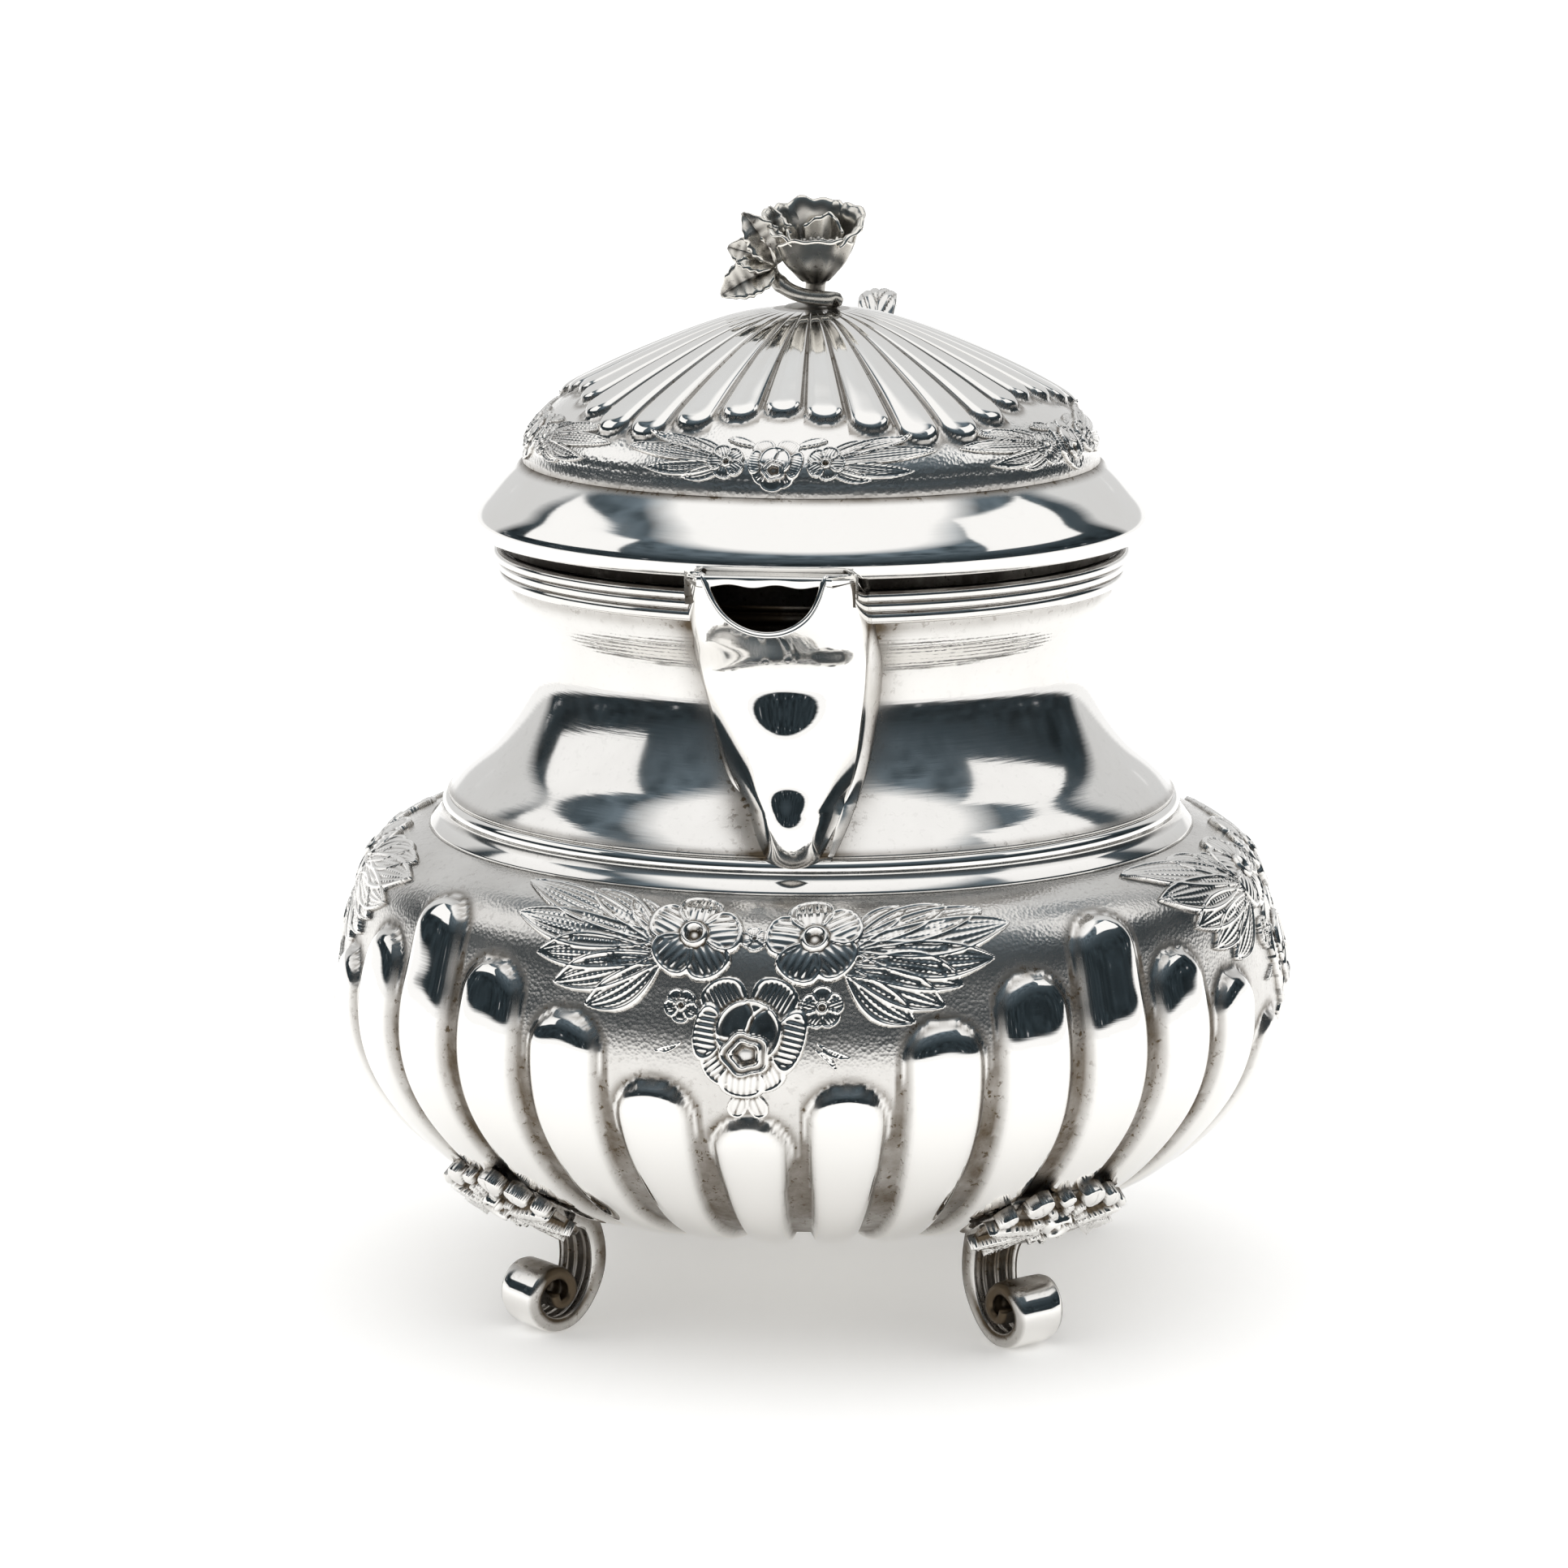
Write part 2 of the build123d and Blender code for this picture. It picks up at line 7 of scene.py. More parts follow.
import bpy
import numpy as np
from mathutils import Euler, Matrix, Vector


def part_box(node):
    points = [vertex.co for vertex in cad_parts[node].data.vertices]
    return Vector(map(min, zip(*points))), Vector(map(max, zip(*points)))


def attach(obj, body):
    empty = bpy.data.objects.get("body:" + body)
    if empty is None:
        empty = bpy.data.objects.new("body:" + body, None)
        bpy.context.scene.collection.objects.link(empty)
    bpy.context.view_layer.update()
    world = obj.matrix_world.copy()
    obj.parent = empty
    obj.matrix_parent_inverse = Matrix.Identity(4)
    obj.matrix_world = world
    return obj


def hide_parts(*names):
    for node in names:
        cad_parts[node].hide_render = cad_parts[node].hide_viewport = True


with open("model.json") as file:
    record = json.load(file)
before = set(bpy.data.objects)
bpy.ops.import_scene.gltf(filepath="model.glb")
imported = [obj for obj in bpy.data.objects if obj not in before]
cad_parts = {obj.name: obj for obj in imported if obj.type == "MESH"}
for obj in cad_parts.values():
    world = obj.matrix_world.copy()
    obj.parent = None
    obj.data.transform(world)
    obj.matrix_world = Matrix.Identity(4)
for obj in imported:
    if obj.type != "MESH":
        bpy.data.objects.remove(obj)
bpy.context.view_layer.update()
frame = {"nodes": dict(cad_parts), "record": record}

MM = 0.001
_low, _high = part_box("bowl")
AXIS_X = (_low[0] + _high[0]) / 2
AXIS_Y = (_low[1] + _high[1]) / 2


def at(x, y, z):
    """Points in the frame from distances in mm: across, behind the pot's axis, and up."""
    x, y, z = np.broadcast_arrays(x, y, z)
    return np.stack([AXIS_X + x * MM, AXIS_Y + y * MM, z * MM], axis=-1)


def smooth(a, b, x):
    """0 below a, 1 above b, and an even slope between."""
    t = np.clip((x - a) / (b - a), 0, 1)
    return t * t * (3 - 2 * t)


def bell(x, middle, width):
    """1 at the middle, and falling off alike on both sides."""
    return np.exp(-(((x - middle) / width) ** 2))


def full_turn(count):
    """That many even angles round a full turn, in radians."""
    return np.linspace(0, 2 * np.pi, count, endpoint=False)


# ---- smooth lines ----
def spline(points, count=400):
    """Even samples of the smooth curve through the points."""
    p = np.array(points, float)
    t = np.concatenate([[0], np.cumsum(np.linalg.norm(np.diff(p, axis=0), axis=1))])
    h = np.diff(t)
    n = len(p)
    a = np.eye(n)
    b = np.zeros_like(p)
    for i in range(1, n - 1):
        a[i, i - 1 : i + 2] = h[i - 1], 2 * (h[i - 1] + h[i]), h[i]
        b[i] = 6 * ((p[i + 1] - p[i]) / h[i] - (p[i] - p[i - 1]) / h[i - 1])
    m = np.linalg.solve(a, b)
    x = np.linspace(0, t[-1], 12 * count)
    i = np.clip(np.searchsorted(t, x) - 1, 0, n - 2)
    u, w = (x - t[i])[:, None], h[i][:, None]
    v = w - u
    curve = m[i] * v**3 / (6 * w) + m[i + 1] * u**3 / (6 * w)
    curve = curve + (p[i] / w - m[i] * w / 6) * v + (p[i + 1] / w - m[i + 1] * w / 6) * u
    run = np.concatenate([[0], np.cumsum(np.linalg.norm(np.diff(curve, axis=0), axis=1))])
    even = np.linspace(0, run[-1], count)
    return np.stack([np.interp(even, run, curve[:, k]) for k in range(p.shape[1])], axis=-1)


class Turned:
    """A surface turned round the pot's axis: v runs along its outline in mm, u round it in radians."""

    def __init__(self, points):
        self.line = spline(points, 900)
        self.run = np.concatenate([[0], np.cumsum(np.hypot(*np.diff(self.line, axis=0).T))])
        slope = np.gradient(self.line, self.run, axis=0)
        slope /= np.linalg.norm(slope, axis=1)[:, None]
        self.normal = np.stack([slope[:, 1], -slope[:, 0]], axis=-1)
        self.length = self.run[-1]

    def radius(self, v):
        return np.interp(v, self.run, self.line[:, 0])

    def height(self, v):
        return np.interp(v, self.run, self.line[:, 1])

    def v_at(self, z):
        """Where along the outline that height is."""
        order = np.argsort(self.line[:, 1])
        return np.interp(z, self.line[order, 1], self.run[order])

    def v_out(self, r):
        """Where along the outline that radius is, on an outline whose radius only shrinks."""
        return np.interp(-np.asarray(r, float), -self.line[:, 0], self.run)

    def points(self, u, v, lift):
        """Points at (u, v), moved out along the normal by lift."""
        r = self.radius(v) + lift * np.interp(v, self.run, self.normal[:, 0])
        z = self.height(v) + lift * np.interp(v, self.run, self.normal[:, 1])
        return at(r * np.sin(u), -r * np.cos(u), z)


# ---- meshes ----
def new_mesh(name, points, faces, material, dark=None, rough=None):
    """Smooth-shaded object from points and faces, with how dark and how rough each point is."""
    mesh = bpy.data.meshes.new(name)
    mesh.from_pydata(np.asarray(points).reshape(-1, 3).tolist(), [], np.asarray(faces).tolist())
    mesh.polygons.foreach_set("use_smooth", np.ones(len(mesh.polygons), bool))
    for label, values in (("dark", dark), ("rough", rough)):
        if values is not None:
            layer = mesh.attributes.new(label, "FLOAT", "POINT")
            layer.data.foreach_set("value", np.asarray(values, np.float32).ravel())
    mesh.materials.append(material)
    obj = bpy.data.objects.new(name, mesh)
    bpy.context.scene.collection.objects.link(obj)
    return obj


def grid_faces(rows, columns, wrap_rows=False, wrap_columns=False):
    """Four-sided faces of a grid of points, closed round either way."""
    i = np.arange(rows if wrap_rows else rows - 1)
    j = np.arange(columns if wrap_columns else columns - 1)
    i, j = np.meshgrid(i, j, indexing="ij")
    i2, j2 = (i + 1) % rows, (j + 1) % columns
    corners = [i * columns + j, i * columns + j2, i2 * columns + j2, i2 * columns + j]
    return np.stack(corners, axis=-1).reshape(-1, 4)


def finish_piece(obj, body, slot, *nodes):
    """Rides its body and stands for those CAD nodes. Its slot is not used."""
    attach(obj, body)
    if nodes:
        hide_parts(*nodes)
    return obj


AROUND = 720  # points round a turned ring


def ring(name, outline, material, dark=None, rough=None):
    """Closed ring turned from a closed outline of (radius, height) points."""
    outline = np.array(outline)
    u = full_turn(AROUND)[:, None]
    points = at(outline[:, 0] * np.sin(u), -outline[:, 0] * np.cos(u), outline[:, 1] + 0 * u)
    shape = (AROUND, len(outline))
    dark, rough = (None if values is None else np.broadcast_to(values, shape) for values in (dark, rough))
    return new_mesh(name, points, grid_faces(*shape, True, True), material, dark, rough)


def parallel(points, distance):
    """A line moved sideways, to the left of its direction."""
    d = np.gradient(np.array(points, float), axis=0)
    d /= np.linalg.norm(d, axis=1)[:, None]
    return np.array(points) + distance * np.stack([-d[:, 1], d[:, 0]], axis=-1)


# ---- materials ----
def feed(tree, socket, value):
    """Links the socket to another node's output, or sets its value."""
    if isinstance(value, bpy.types.NodeSocket):
        tree.links.new(value, socket)
    else:
        socket.default_value = value


def node(tree, kind, inputs=(), **settings):
    """New node with those settings and inputs."""
    made = tree.nodes.new(kind)
    for key, value in settings.items():
        setattr(made, key, value)
    for key, value in dict(inputs).items():
        feed(tree, made.inputs[key], value)
    return made


def mixed(tree, factor, a, b, kind="RGBA"):
    """Output that goes from a to b with factor."""
    made = tree.nodes.new("ShaderNodeMix")
    made.data_type = kind
    first, last, result = (6, 7, 2) if kind == "RGBA" else (2, 3, 0)
    for index, value in ((0, factor), (first, a), (last, b)):
        feed(tree, made.inputs[index], value)
    return made.outputs[result]


def maths(tree, operation, a, b=0.0, c=0.0, clamp=False):
    """Output of one step of arithmetic."""
    made = tree.nodes.new("ShaderNodeMath")
    made.operation = operation
    made.use_clamp = clamp
    for index, value in enumerate((a, b, c)):
        feed(tree, made.inputs[index], value)
    return made.outputs[0]


def noise(tree, place, scale, detail, roughness=0.5):
    """Output of a noise texture."""
    inputs = {"Vector": place, "Scale": scale, "Detail": detail, "Roughness": roughness}
    return node(tree, "ShaderNodeTexNoise", inputs).outputs["Fac"]


def stretched(tree, place, scale, tilt=(0.0, 0.0, 0.0)):
    """Output of a place scaled and tilted, for a texture with long marks."""
    return node(tree, "ShaderNodeMapping", {"Vector": place, "Scale": scale, "Rotation": tilt}).outputs[0]


def new_material(name, inputs):
    """Material whose shader has those inputs, its node tree and its shader."""
    material = bpy.data.materials.new(name)
    material.use_nodes = True
    shader = material.node_tree.nodes["Principled BSDF"]
    for key, value in inputs.items():
        shader.inputs[key].default_value = value
    return material, material.node_tree, shader


SPECK_FROM, SPECK_DARK = 0.60, 0.35  # how rare and how dark the specks of tarnish are
HAZE, SMEAR = 0.07, 0.10  # roughness of the chased ground, and of smears that come and go
WIPE_HIGH, PIT_DEEP = 0.12, 0.32  # heights of the wipe marks and of the chased ground's pits
WIPE_SCALE, WIPE_TILT = (160.0, 160.0, 2600.0), (0.3, 0.2, 0.0)


def silver_material(name, shine, dull, rough_shine, rough_dull, base_dark=0.0, turning=0.0, scratch=0.25):
    """Silver that is dark and dull where its mesh says so, with wipe marks, specks and a chased grain."""
    material, tree, shader = new_material(name, {"Metallic": 1.0})
    place = node(tree, "ShaderNodeNewGeometry").outputs["Position"]
    dark = node(tree, "ShaderNodeAttribute", attribute_name="dark").outputs["Fac"]
    rough = node(tree, "ShaderNodeAttribute", attribute_name="rough").outputs["Fac"]
    blotch = noise(tree, place, 90.0, 6.0, 0.65)
    uneven = maths(tree, "MULTIPLY_ADD", blotch, 1.2, 0.4)
    # The dark attribute holds tarnish and painted shade alike, and both darken and dull the silver the same
    # way here.
    tarnish_and_painted_shade = maths(tree, "MULTIPLY", maths(tree, "ADD", dark, base_dark), uneven)
    speck = maths(tree, "GREATER_THAN", noise(tree, place, 900.0, 4.0, 0.7), SPECK_FROM)
    speck = maths(tree, "MULTIPLY", speck, maths(tree, "MULTIPLY", dark, SPECK_DARK))
    tarnish_and_painted_shade = maths(tree, "ADD", tarnish_and_painted_shade, speck, clamp=True)
    feed(tree, shader.inputs["Base Color"], mixed(tree, tarnish_and_painted_shade, shine, dull))
    gloss = mixed(tree, tarnish_and_painted_shade, rough_shine, rough_dull, "FLOAT")
    gloss = maths(tree, "ADD", gloss, maths(tree, "MULTIPLY", rough, HAZE))
    smear = maths(tree, "SUBTRACT", maths(tree, "MULTIPLY", blotch, SMEAR), SMEAR / 2)
    feed(tree, shader.inputs["Roughness"], maths(tree, "ADD", gloss, smear, clamp=True))
    wipes = noise(tree, stretched(tree, place, WIPE_SCALE, WIPE_TILT), 1.0, 3.0)
    grain = node(tree, "ShaderNodeTexVoronoi", {"Vector": place, "Scale": 1900.0})
    relief = maths(tree, "MULTIPLY", wipes, scratch * WIPE_HIGH)
    pits = maths(tree, "MULTIPLY", grain.outputs["Distance"], maths(tree, "MULTIPLY", rough, PIT_DEEP))
    relief = maths(tree, "ADD", relief, pits)
    if turning:
        waves = {"Vector": place, "Scale": 520.0, "Distortion": 0.4, "Detail": 1.0}
        lines = node(tree, "ShaderNodeTexWave", waves, bands_direction="Z").outputs["Fac"]
        lines = maths(tree, "MULTIPLY", lines, maths(tree, "MULTIPLY", rough, turning))
        relief = maths(tree, "ADD", relief, lines)
    bump = node(tree, "ShaderNodeBump", {"Height": relief, "Distance": 0.00025, "Strength": 0.35})
    feed(tree, shader.inputs["Normal"], bump.outputs[0])
    return material


# The dull colours serve for tarnish and oxide, and for painted shade alike.
SHINE, TARNISH_AND_SHADE = (0.905, 0.892, 0.868, 1), (0.110, 0.084, 0.056, 1)
WARM_SHINE, BLACKENED_AND_SHADE = (0.86, 0.83, 0.77, 1), (0.060, 0.052, 0.045, 1)
polished = silver_material("polished_silver", SHINE, TARNISH_AND_SHADE, 0.055, 0.42)
neck_silver = silver_material("neck_silver", SHINE, TARNISH_AND_SHADE, 0.04, 0.42, turning=0.4, scratch=0.8)
oxidised = silver_material("oxidised_silver", WARM_SHINE, BLACKENED_AND_SHADE, 0.12, 0.42, base_dark=0.05)


def bone_material():
    """Yellowed bone with long fine pores."""
    gloss = {"Roughness": 0.35, "Subsurface Weight": 0.15, "Subsurface Scale": 0.002}
    material, tree, shader = new_material("bone", gloss)
    place = node(tree, "ShaderNodeNewGeometry").outputs["Position"]
    pores = noise(tree, stretched(tree, place, (1500.0, 260.0, 1500.0)), 1.0, 4.0)
    tone = mixed(tree, pores, (0.50, 0.38, 0.22, 1), (0.86, 0.78, 0.62, 1))
    feed(tree, shader.inputs["Base Color"], tone)
    bump = node(tree, "ShaderNodeBump", {"Height": pores, "Distance": 0.0001, "Strength": 0.3})
    feed(tree, shader.inputs["Normal"], bump.outputs[0])
    return material


bone = bone_material()

# ---- outlines as (radius, height) in mm, close to the frame's own ----
BOWL = [
    (0.01, 13.6), (24, 14.0), (40, 15.6), (51, 19.0), (60.5, 24.6), (67.0, 31.0), (71.8, 38.0),
    (74.4, 47.0), (73.6, 55.5), (71.0, 62.6), (66.6, 69.0), (61.6, 72.2), (56.6, 73.4),
]
NECK = [
    (55.9, 77.7), (53.6, 80.1), (49.9, 83.4), (46.6, 87.5), (44.0, 92.2), (42.1, 99.2), (43.2, 103.4),
    (45.2, 106.6), (46.4, 110.2), (46.4, 115.4),
]
LID_RIM = [
    (50.9, 117.7), (51.5, 118.6), (51.6, 119.8), (51.0, 121.2), (49.4, 123.2), (47.0, 125.8), (44.0, 128.5),
]
DOME = [
    (44.0, 128.5), (44.15, 130.8), (43.6, 132.7), (42.0, 135.0), (38.6, 138.1), (33.4, 141.2), (25.0, 145.2),
    (16.0, 148.9), (8.0, 151.1), (1.6, 151.8),
]
WALL = 1.0  # thickness of the silver sheet

# ---- chased ornament, as heights in mm over flat coordinates in mm ----
OFF = -0.4  # height that stands for no ornament


def petal(x, y, centre, angle, reach, width, height=0.8, ribs=0.0, rim=0.30):
    """Egg-shaped petal, its long way at that angle in degrees: a pillow with a raised rim, and ribs that far
    apart or else one crease."""
    a = math.radians(angle)
    out = (x - centre[0]) * math.cos(a) + (y - centre[1]) * math.sin(a)
    side = -(x - centre[0]) * math.sin(a) + (y - centre[1]) * math.cos(a)
    t = np.hypot(out / reach, side / (width * (1 + 0.22 * out / reach)))
    if ribs:
        lines = 0.05 * np.cos(2 * np.pi * side / ribs) * smooth(0.9, 0.7, t)
    else:
        lines = -0.16 * bell(side, 0, 0.22) * smooth(1.0, 0.4, t)
    edge = rim * bell(t, 0.87, 0.09)
    return np.where(t < 1, height * (0.62 + 0.38 * (1 - t**2)) + edge + lines, OFF)


def pitted_boss(x, y, centre, radius, height):
    """Ring with a deep pit, which overrides what is under it."""
    t = np.hypot(x - centre[0], y - centre[1]) / radius
    return t < 1, height * (0.35 + 0.65 * bell(t, 0.72, 0.22)) - 0.25 * (t < 0.38)


def petal_flower(x, y, centre, radius, turn=0.0, petals=5, height=0.9):
    """Open flower of rimmed petals round a pitted boss."""
    high = np.full_like(x, OFF)
    away = 0.57 * radius
    width = 1.36 * math.pi * away / petals
    for k in range(petals):
        angle = turn + 360 * k / petals
        a = math.radians(angle)
        middle = (centre[0] + away * math.cos(a), centre[1] + away * math.sin(a))
        tall = height * (1 - 0.12 * (k % 2))
        high = np.maximum(high, petal(x, y, middle, angle, 0.44 * radius, width, tall, 0.3 * width))
    inside, boss = pitted_boss(x, y, centre, 0.31 * radius, height * 1.45)
    return np.where(inside, boss, high)


def leaf_shape(x, y, start, end, width, bend=0.0, height=0.55):
    """Curved pointed leaf from start to end, with a raised edge and four faintly beaded veins."""
    dx, dy = end[0] - start[0], end[1] - start[1]
    length = math.hypot(dx, dy)
    along = ((x - start[0]) * dx + (y - start[1]) * dy) / length**2
    side = (-(x - start[0]) * dy + (y - start[1]) * dx) / length - bend * 4 * along * (1 - along)
    t = np.clip(along, 0, 1)
    half = width * (0.30 + 0.70 * np.sin(np.pi * t**1.25) ** 0.8) * (1 - t**6) ** 0.5 / 2 + 1e-6
    k = side / half
    edge = 0.34 * bell(np.abs(k), 0.82, 0.13)
    beads = 0.8 + 0.2 * np.cos(2 * np.pi * along * length / 0.9)
    veins = sum(0.15 * bell(k, place, 0.09) for place in (-0.5, -0.17, 0.17, 0.5)) * beads
    inside = (along > 0) & (along < 1) & (np.abs(k) < 1)
    return np.where(inside, height * (0.7 + 0.3 * (1 - k**2)) + edge + veins * smooth(1.0, 0.8, t), OFF)


# centre, angle, reach, width, height, ribs and rim of the petals round a rose of size 1
ROSE_PETALS = [
    ((-0.52, 0.78), 118, 0.52, 0.52, 0.5, 0.1, 0.2),
    ((0.50, 0.80), 62, 0.52, 0.52, 0.5, 0.1, 0.2),
    ((-0.86, 0.08), 172, 0.36, 0.64, 0.8, 0.13),
    ((0.84, -0.06), -14, 0.38, 0.72, 0.8, 0.13),
    ((-0.56, -0.62), 220, 0.44, 0.46, 0.7, 0.12),
    ((0.34, -0.80), 290, 0.42, 0.46, 0.7, 0.12),
    ((-0.12, -0.92), 265, 0.44, 0.52, 0.9, 0.13),
]


def rose_shape(x, y, size):
    """Full-blown rose: ribbed petals round a bud, and a ringed open heart low on the bud."""
    x, y = x / size, y / size
    high = np.maximum.reduce([petal(x, y, *shape) for shape in ROSE_PETALS])
    t = np.hypot(x, y - 0.12) / 0.72
    folds = 0.2 * bell(np.hypot(x + 0.42, y - 0.42), 0.50, 0.035)
    folds += 0.2 * bell(np.hypot(x - 0.55, y - 0.10), 0.56, 0.035)
    bud = 1.25 * (0.7 + 0.3 * np.sqrt(np.clip(1 - t**2, 0, 1))) + 0.35 * bell(t, 0.92, 0.05) - folds
    high = np.where(t < 1, bud, high)
    t = np.hypot(x + 0.05, (y + 0.36) * 1.12) / 0.54
    t = t * (1 + 0.07 * np.cos(5 * np.arctan2(y + 0.36, x + 0.05)))
    rings = 0.45 * bell(t, 0.90, 0.07) + 0.35 * bell(t, 0.58, 0.07)
    heart = 1.05 + rings - 0.7 * smooth(0.52, 0.30, t)
    return np.where(t < 1, heart, high)


def fan(x, y, base, tips, widths, bends, height=0.55):
    """Leaves that spread from one place."""
    leaves = [leaf_shape(x, y, base, tip, w, b, height) for tip, w, b in zip(tips, widths, bends)]
    return np.maximum.reduce(leaves)


def bowl_garland(x, y):
    """Garland of the bowl. x is round the bowl and y up its side, in mm from the middle of the rose."""
    right_up = fan(
        x, y, (14.5, 13.6),
        tips=[(22.0, 20.2), (28.0, 20.0), (33.5, 18.8), (38.0, 16.0), (36.0, 10.8)],
        widths=[5.4, 6.2, 6.4, 7.2, 6.6],
        bends=[0.9, 0.7, 0.4, -0.3, -1.0],
    )
    right_low = fan(
        x, y, (14.0, 10.0),
        tips=[(31.5, 7.2), (29.0, 4.2), (24.6, 2.0)],
        widths=[6.4, 6.0, 5.8],
        bends=[1.2, 0.2, -0.8],
    )
    left_up = fan(
        -x, y, (14.5, 14.0),
        tips=[(18.6, 21.0), (25.6, 22.0), (37.5, 22.0), (38.0, 15.6)],
        widths=[5.0, 6.4, 7.4, 6.8],
        bends=[0.8, 1.0, 0.6, -0.4],
    )
    left_low = fan(
        -x, y, (13.6, 11.0),
        tips=[(34.0, 10.0), (31.0, 6.0), (25.6, 3.2)],
        widths=[6.2, 6.0, 5.8],
        bends=[0.8, 0.2, -1.0],
    )
    small = [
        petal_flower(x, y, (10.6, 4.6), 3.3, 20, 5, 0.6),
        petal_flower(x, y, (-10.2, 4.4), 2.7, 50, 5, 0.6),
        petal_flower(x, y, (0.2, 14.8), 2.0, 10, 4, 0.5),
        leaf_shape(x, y, (10.0, -0.6), (15.4, -3.0), 1.3, -0.5, 0.3),
        leaf_shape(x, y, (9.6, -1.6), (13.0, -5.0), 1.1, 0.4, 0.3),
        leaf_shape(x, y, (-10.0, -1.0), (-14.6, -2.6), 1.2, 0.4, 0.3),
        petal(x, y, (-1.5, -10.6), 250, 2.3, 1.5, 0.4),
        petal(x, y, (1.3, -10.6), 290, 2.3, 1.5, 0.4),
    ]
    flowers = [petal_flower(x, y, (-8.6, 15.0), 7.2, 82), petal_flower(x, y, (8.9, 14.8), 7.2, 100)]
    high = np.maximum.reduce([right_up, right_low, left_up, left_low, *small])
    for flower in (*flowers, rose_shape(x, y, 6.9)):
        high = np.where(flower > OFF, flower, high)
    return high


def lid_garland(x, y):
    """Garland of the lid, in mm from the middle of its rose."""
    high = np.full_like(x, OFF)
    for side in (-1, 1):
        s = side * x
        leaves = fan(
            s, y, (6.5, 0.2),
            tips=[(14.0, 3.8), (20.0, 4.2), (24.5, 1.8), (21.0, -1.6), (14.5, -2.8)],
            widths=[2.4, 2.6, 2.8, 2.6, 2.4],
            bends=[0.5, 0.7, 0.3, -0.5, -0.5],
            height=0.35,
        )
        high = np.maximum(high, leaves)
        high = np.maximum(high, leaf_shape(s, y, (3.0, 3.0), (7.5, 4.2), 1.5, 0.3, 0.3))
        flower = petal_flower(s, y, (7.4, 0.1), 2.9, 70, 5, 0.5)
        high = np.where(flower > OFF, flower, high)
    rose = 0.6 * rose_shape(x, y, 3.3)
    return np.where(rose > 0, rose, high)


def cavities(high, cell, reach=0.5):
    """0 on crests and 1 down in creases of a height grid whose cells are that wide."""
    blurred = high.copy()
    for _ in range(max(int((reach / cell) ** 2), 2)):
        padded = np.pad(blurred, 1, mode="edge")
        blurred = (padded[:-2, 1:-1] + padded[2:, 1:-1] + padded[1:-1, :-2] + padded[1:-1, 2:]) / 4
    return smooth(-0.02, 0.16, blurred - high)


def applied(name, surface, centre, middle, pattern, extent, under, cell=0.17, tone=0.06, sunk=OFF):
    """Ornament raised from a turned surface, of which only the cells that stand proud of the ground are kept.
    The pattern's origin is at (centre, middle), and extent is how far it goes in mm aside, down and up.
    under(u, v) is how far the ground stands out. It is as dark as tone, and darker from sunk down."""
    aside, down, up = extent
    x, y = np.meshgrid(np.arange(-aside, aside, cell), np.arange(-down, up, cell))
    relief = pattern(x, y)
    v = middle + y
    u = centre + x / surface.radius(v)
    raised = under(u, v) + np.where(relief > OFF, relief, -0.25)
    points = surface.points(u, v, raised).reshape(-1, 3)
    keep = relief > OFF
    faces = grid_faces(*x.shape)
    faces = faces[keep.ravel()[faces].any(axis=1)]
    used, faces = np.unique(faces, return_inverse=True)
    deep = cavities(np.where(keep, relief, -0.3), cell) + 0.9 * smooth(sunk + 0.1, sunk - 0.3, relief) * keep
    deep = deep.ravel()[used]
    return new_mesh(name, points[used], faces.reshape(-1, 4), polished, tone + 0.85 * deep, 0 * deep)


def chased_shell(name, ground, lift_of, grid, depth, inner_dark, inner_rough):
    """Shell with a turned surface raised by lift_of(u, v) as its outside, and a plain inside. grid is how many
    points it has round, up its outside and down its inside."""
    around, along, down = grid
    turn = full_turn(around)[:, None]
    u, v = np.broadcast_arrays(turn, np.linspace(0, ground.length, along)[None, :])
    lift, dark, rough = lift_of(u, v)
    inner_u, inner_v = np.broadcast_arrays(turn, np.linspace(ground.length, 0, down)[None, :])
    plain = np.ones(inner_v.shape)
    points = [ground.points(u, v, lift), ground.points(inner_u, inner_v, -depth * plain)]
    dark = np.concatenate([dark, inner_dark * plain], axis=1)
    rough = np.concatenate([rough, inner_rough * plain], axis=1)
    faces = grid_faces(around, along + down, True)
    return new_mesh(name, np.concatenate(points, axis=1), faces, polished, dark, rough)


def place_in_garland(index, count, garlands):
    """0 for the lobe at a garland's middle, 1 for those next to it, and so on."""
    each = count // garlands
    return np.abs((index + each // 2) % each - each // 2).astype(int)


# ---- bowl ----
LOBES, BOWL_GARLANDS = 32, 4
LOBE_TOPS = (42.0, 47.4, 56.8, 62.4, 68.7)  # height of a lobe's tip, from a garland's middle to between two
LOBE_HALF, LOBE_HIGH = 4.55, 1.9  # half width in degrees, and how far a lobe stands out
bowl_ground = Turned(BOWL)
LOBE_TIP_V = [float(bowl_ground.v_at(z)) for z in LOBE_TOPS]
BOWL_GRID = (960, 170, 30)  # points round, up the outside and down the inside
BOWL_ROSE_HEIGHT = 55.0  # of the middle of a garland's rose
BOWL_GARLAND_SIZE = (43.0, 13.5, 23.5)  # mm aside, down and up


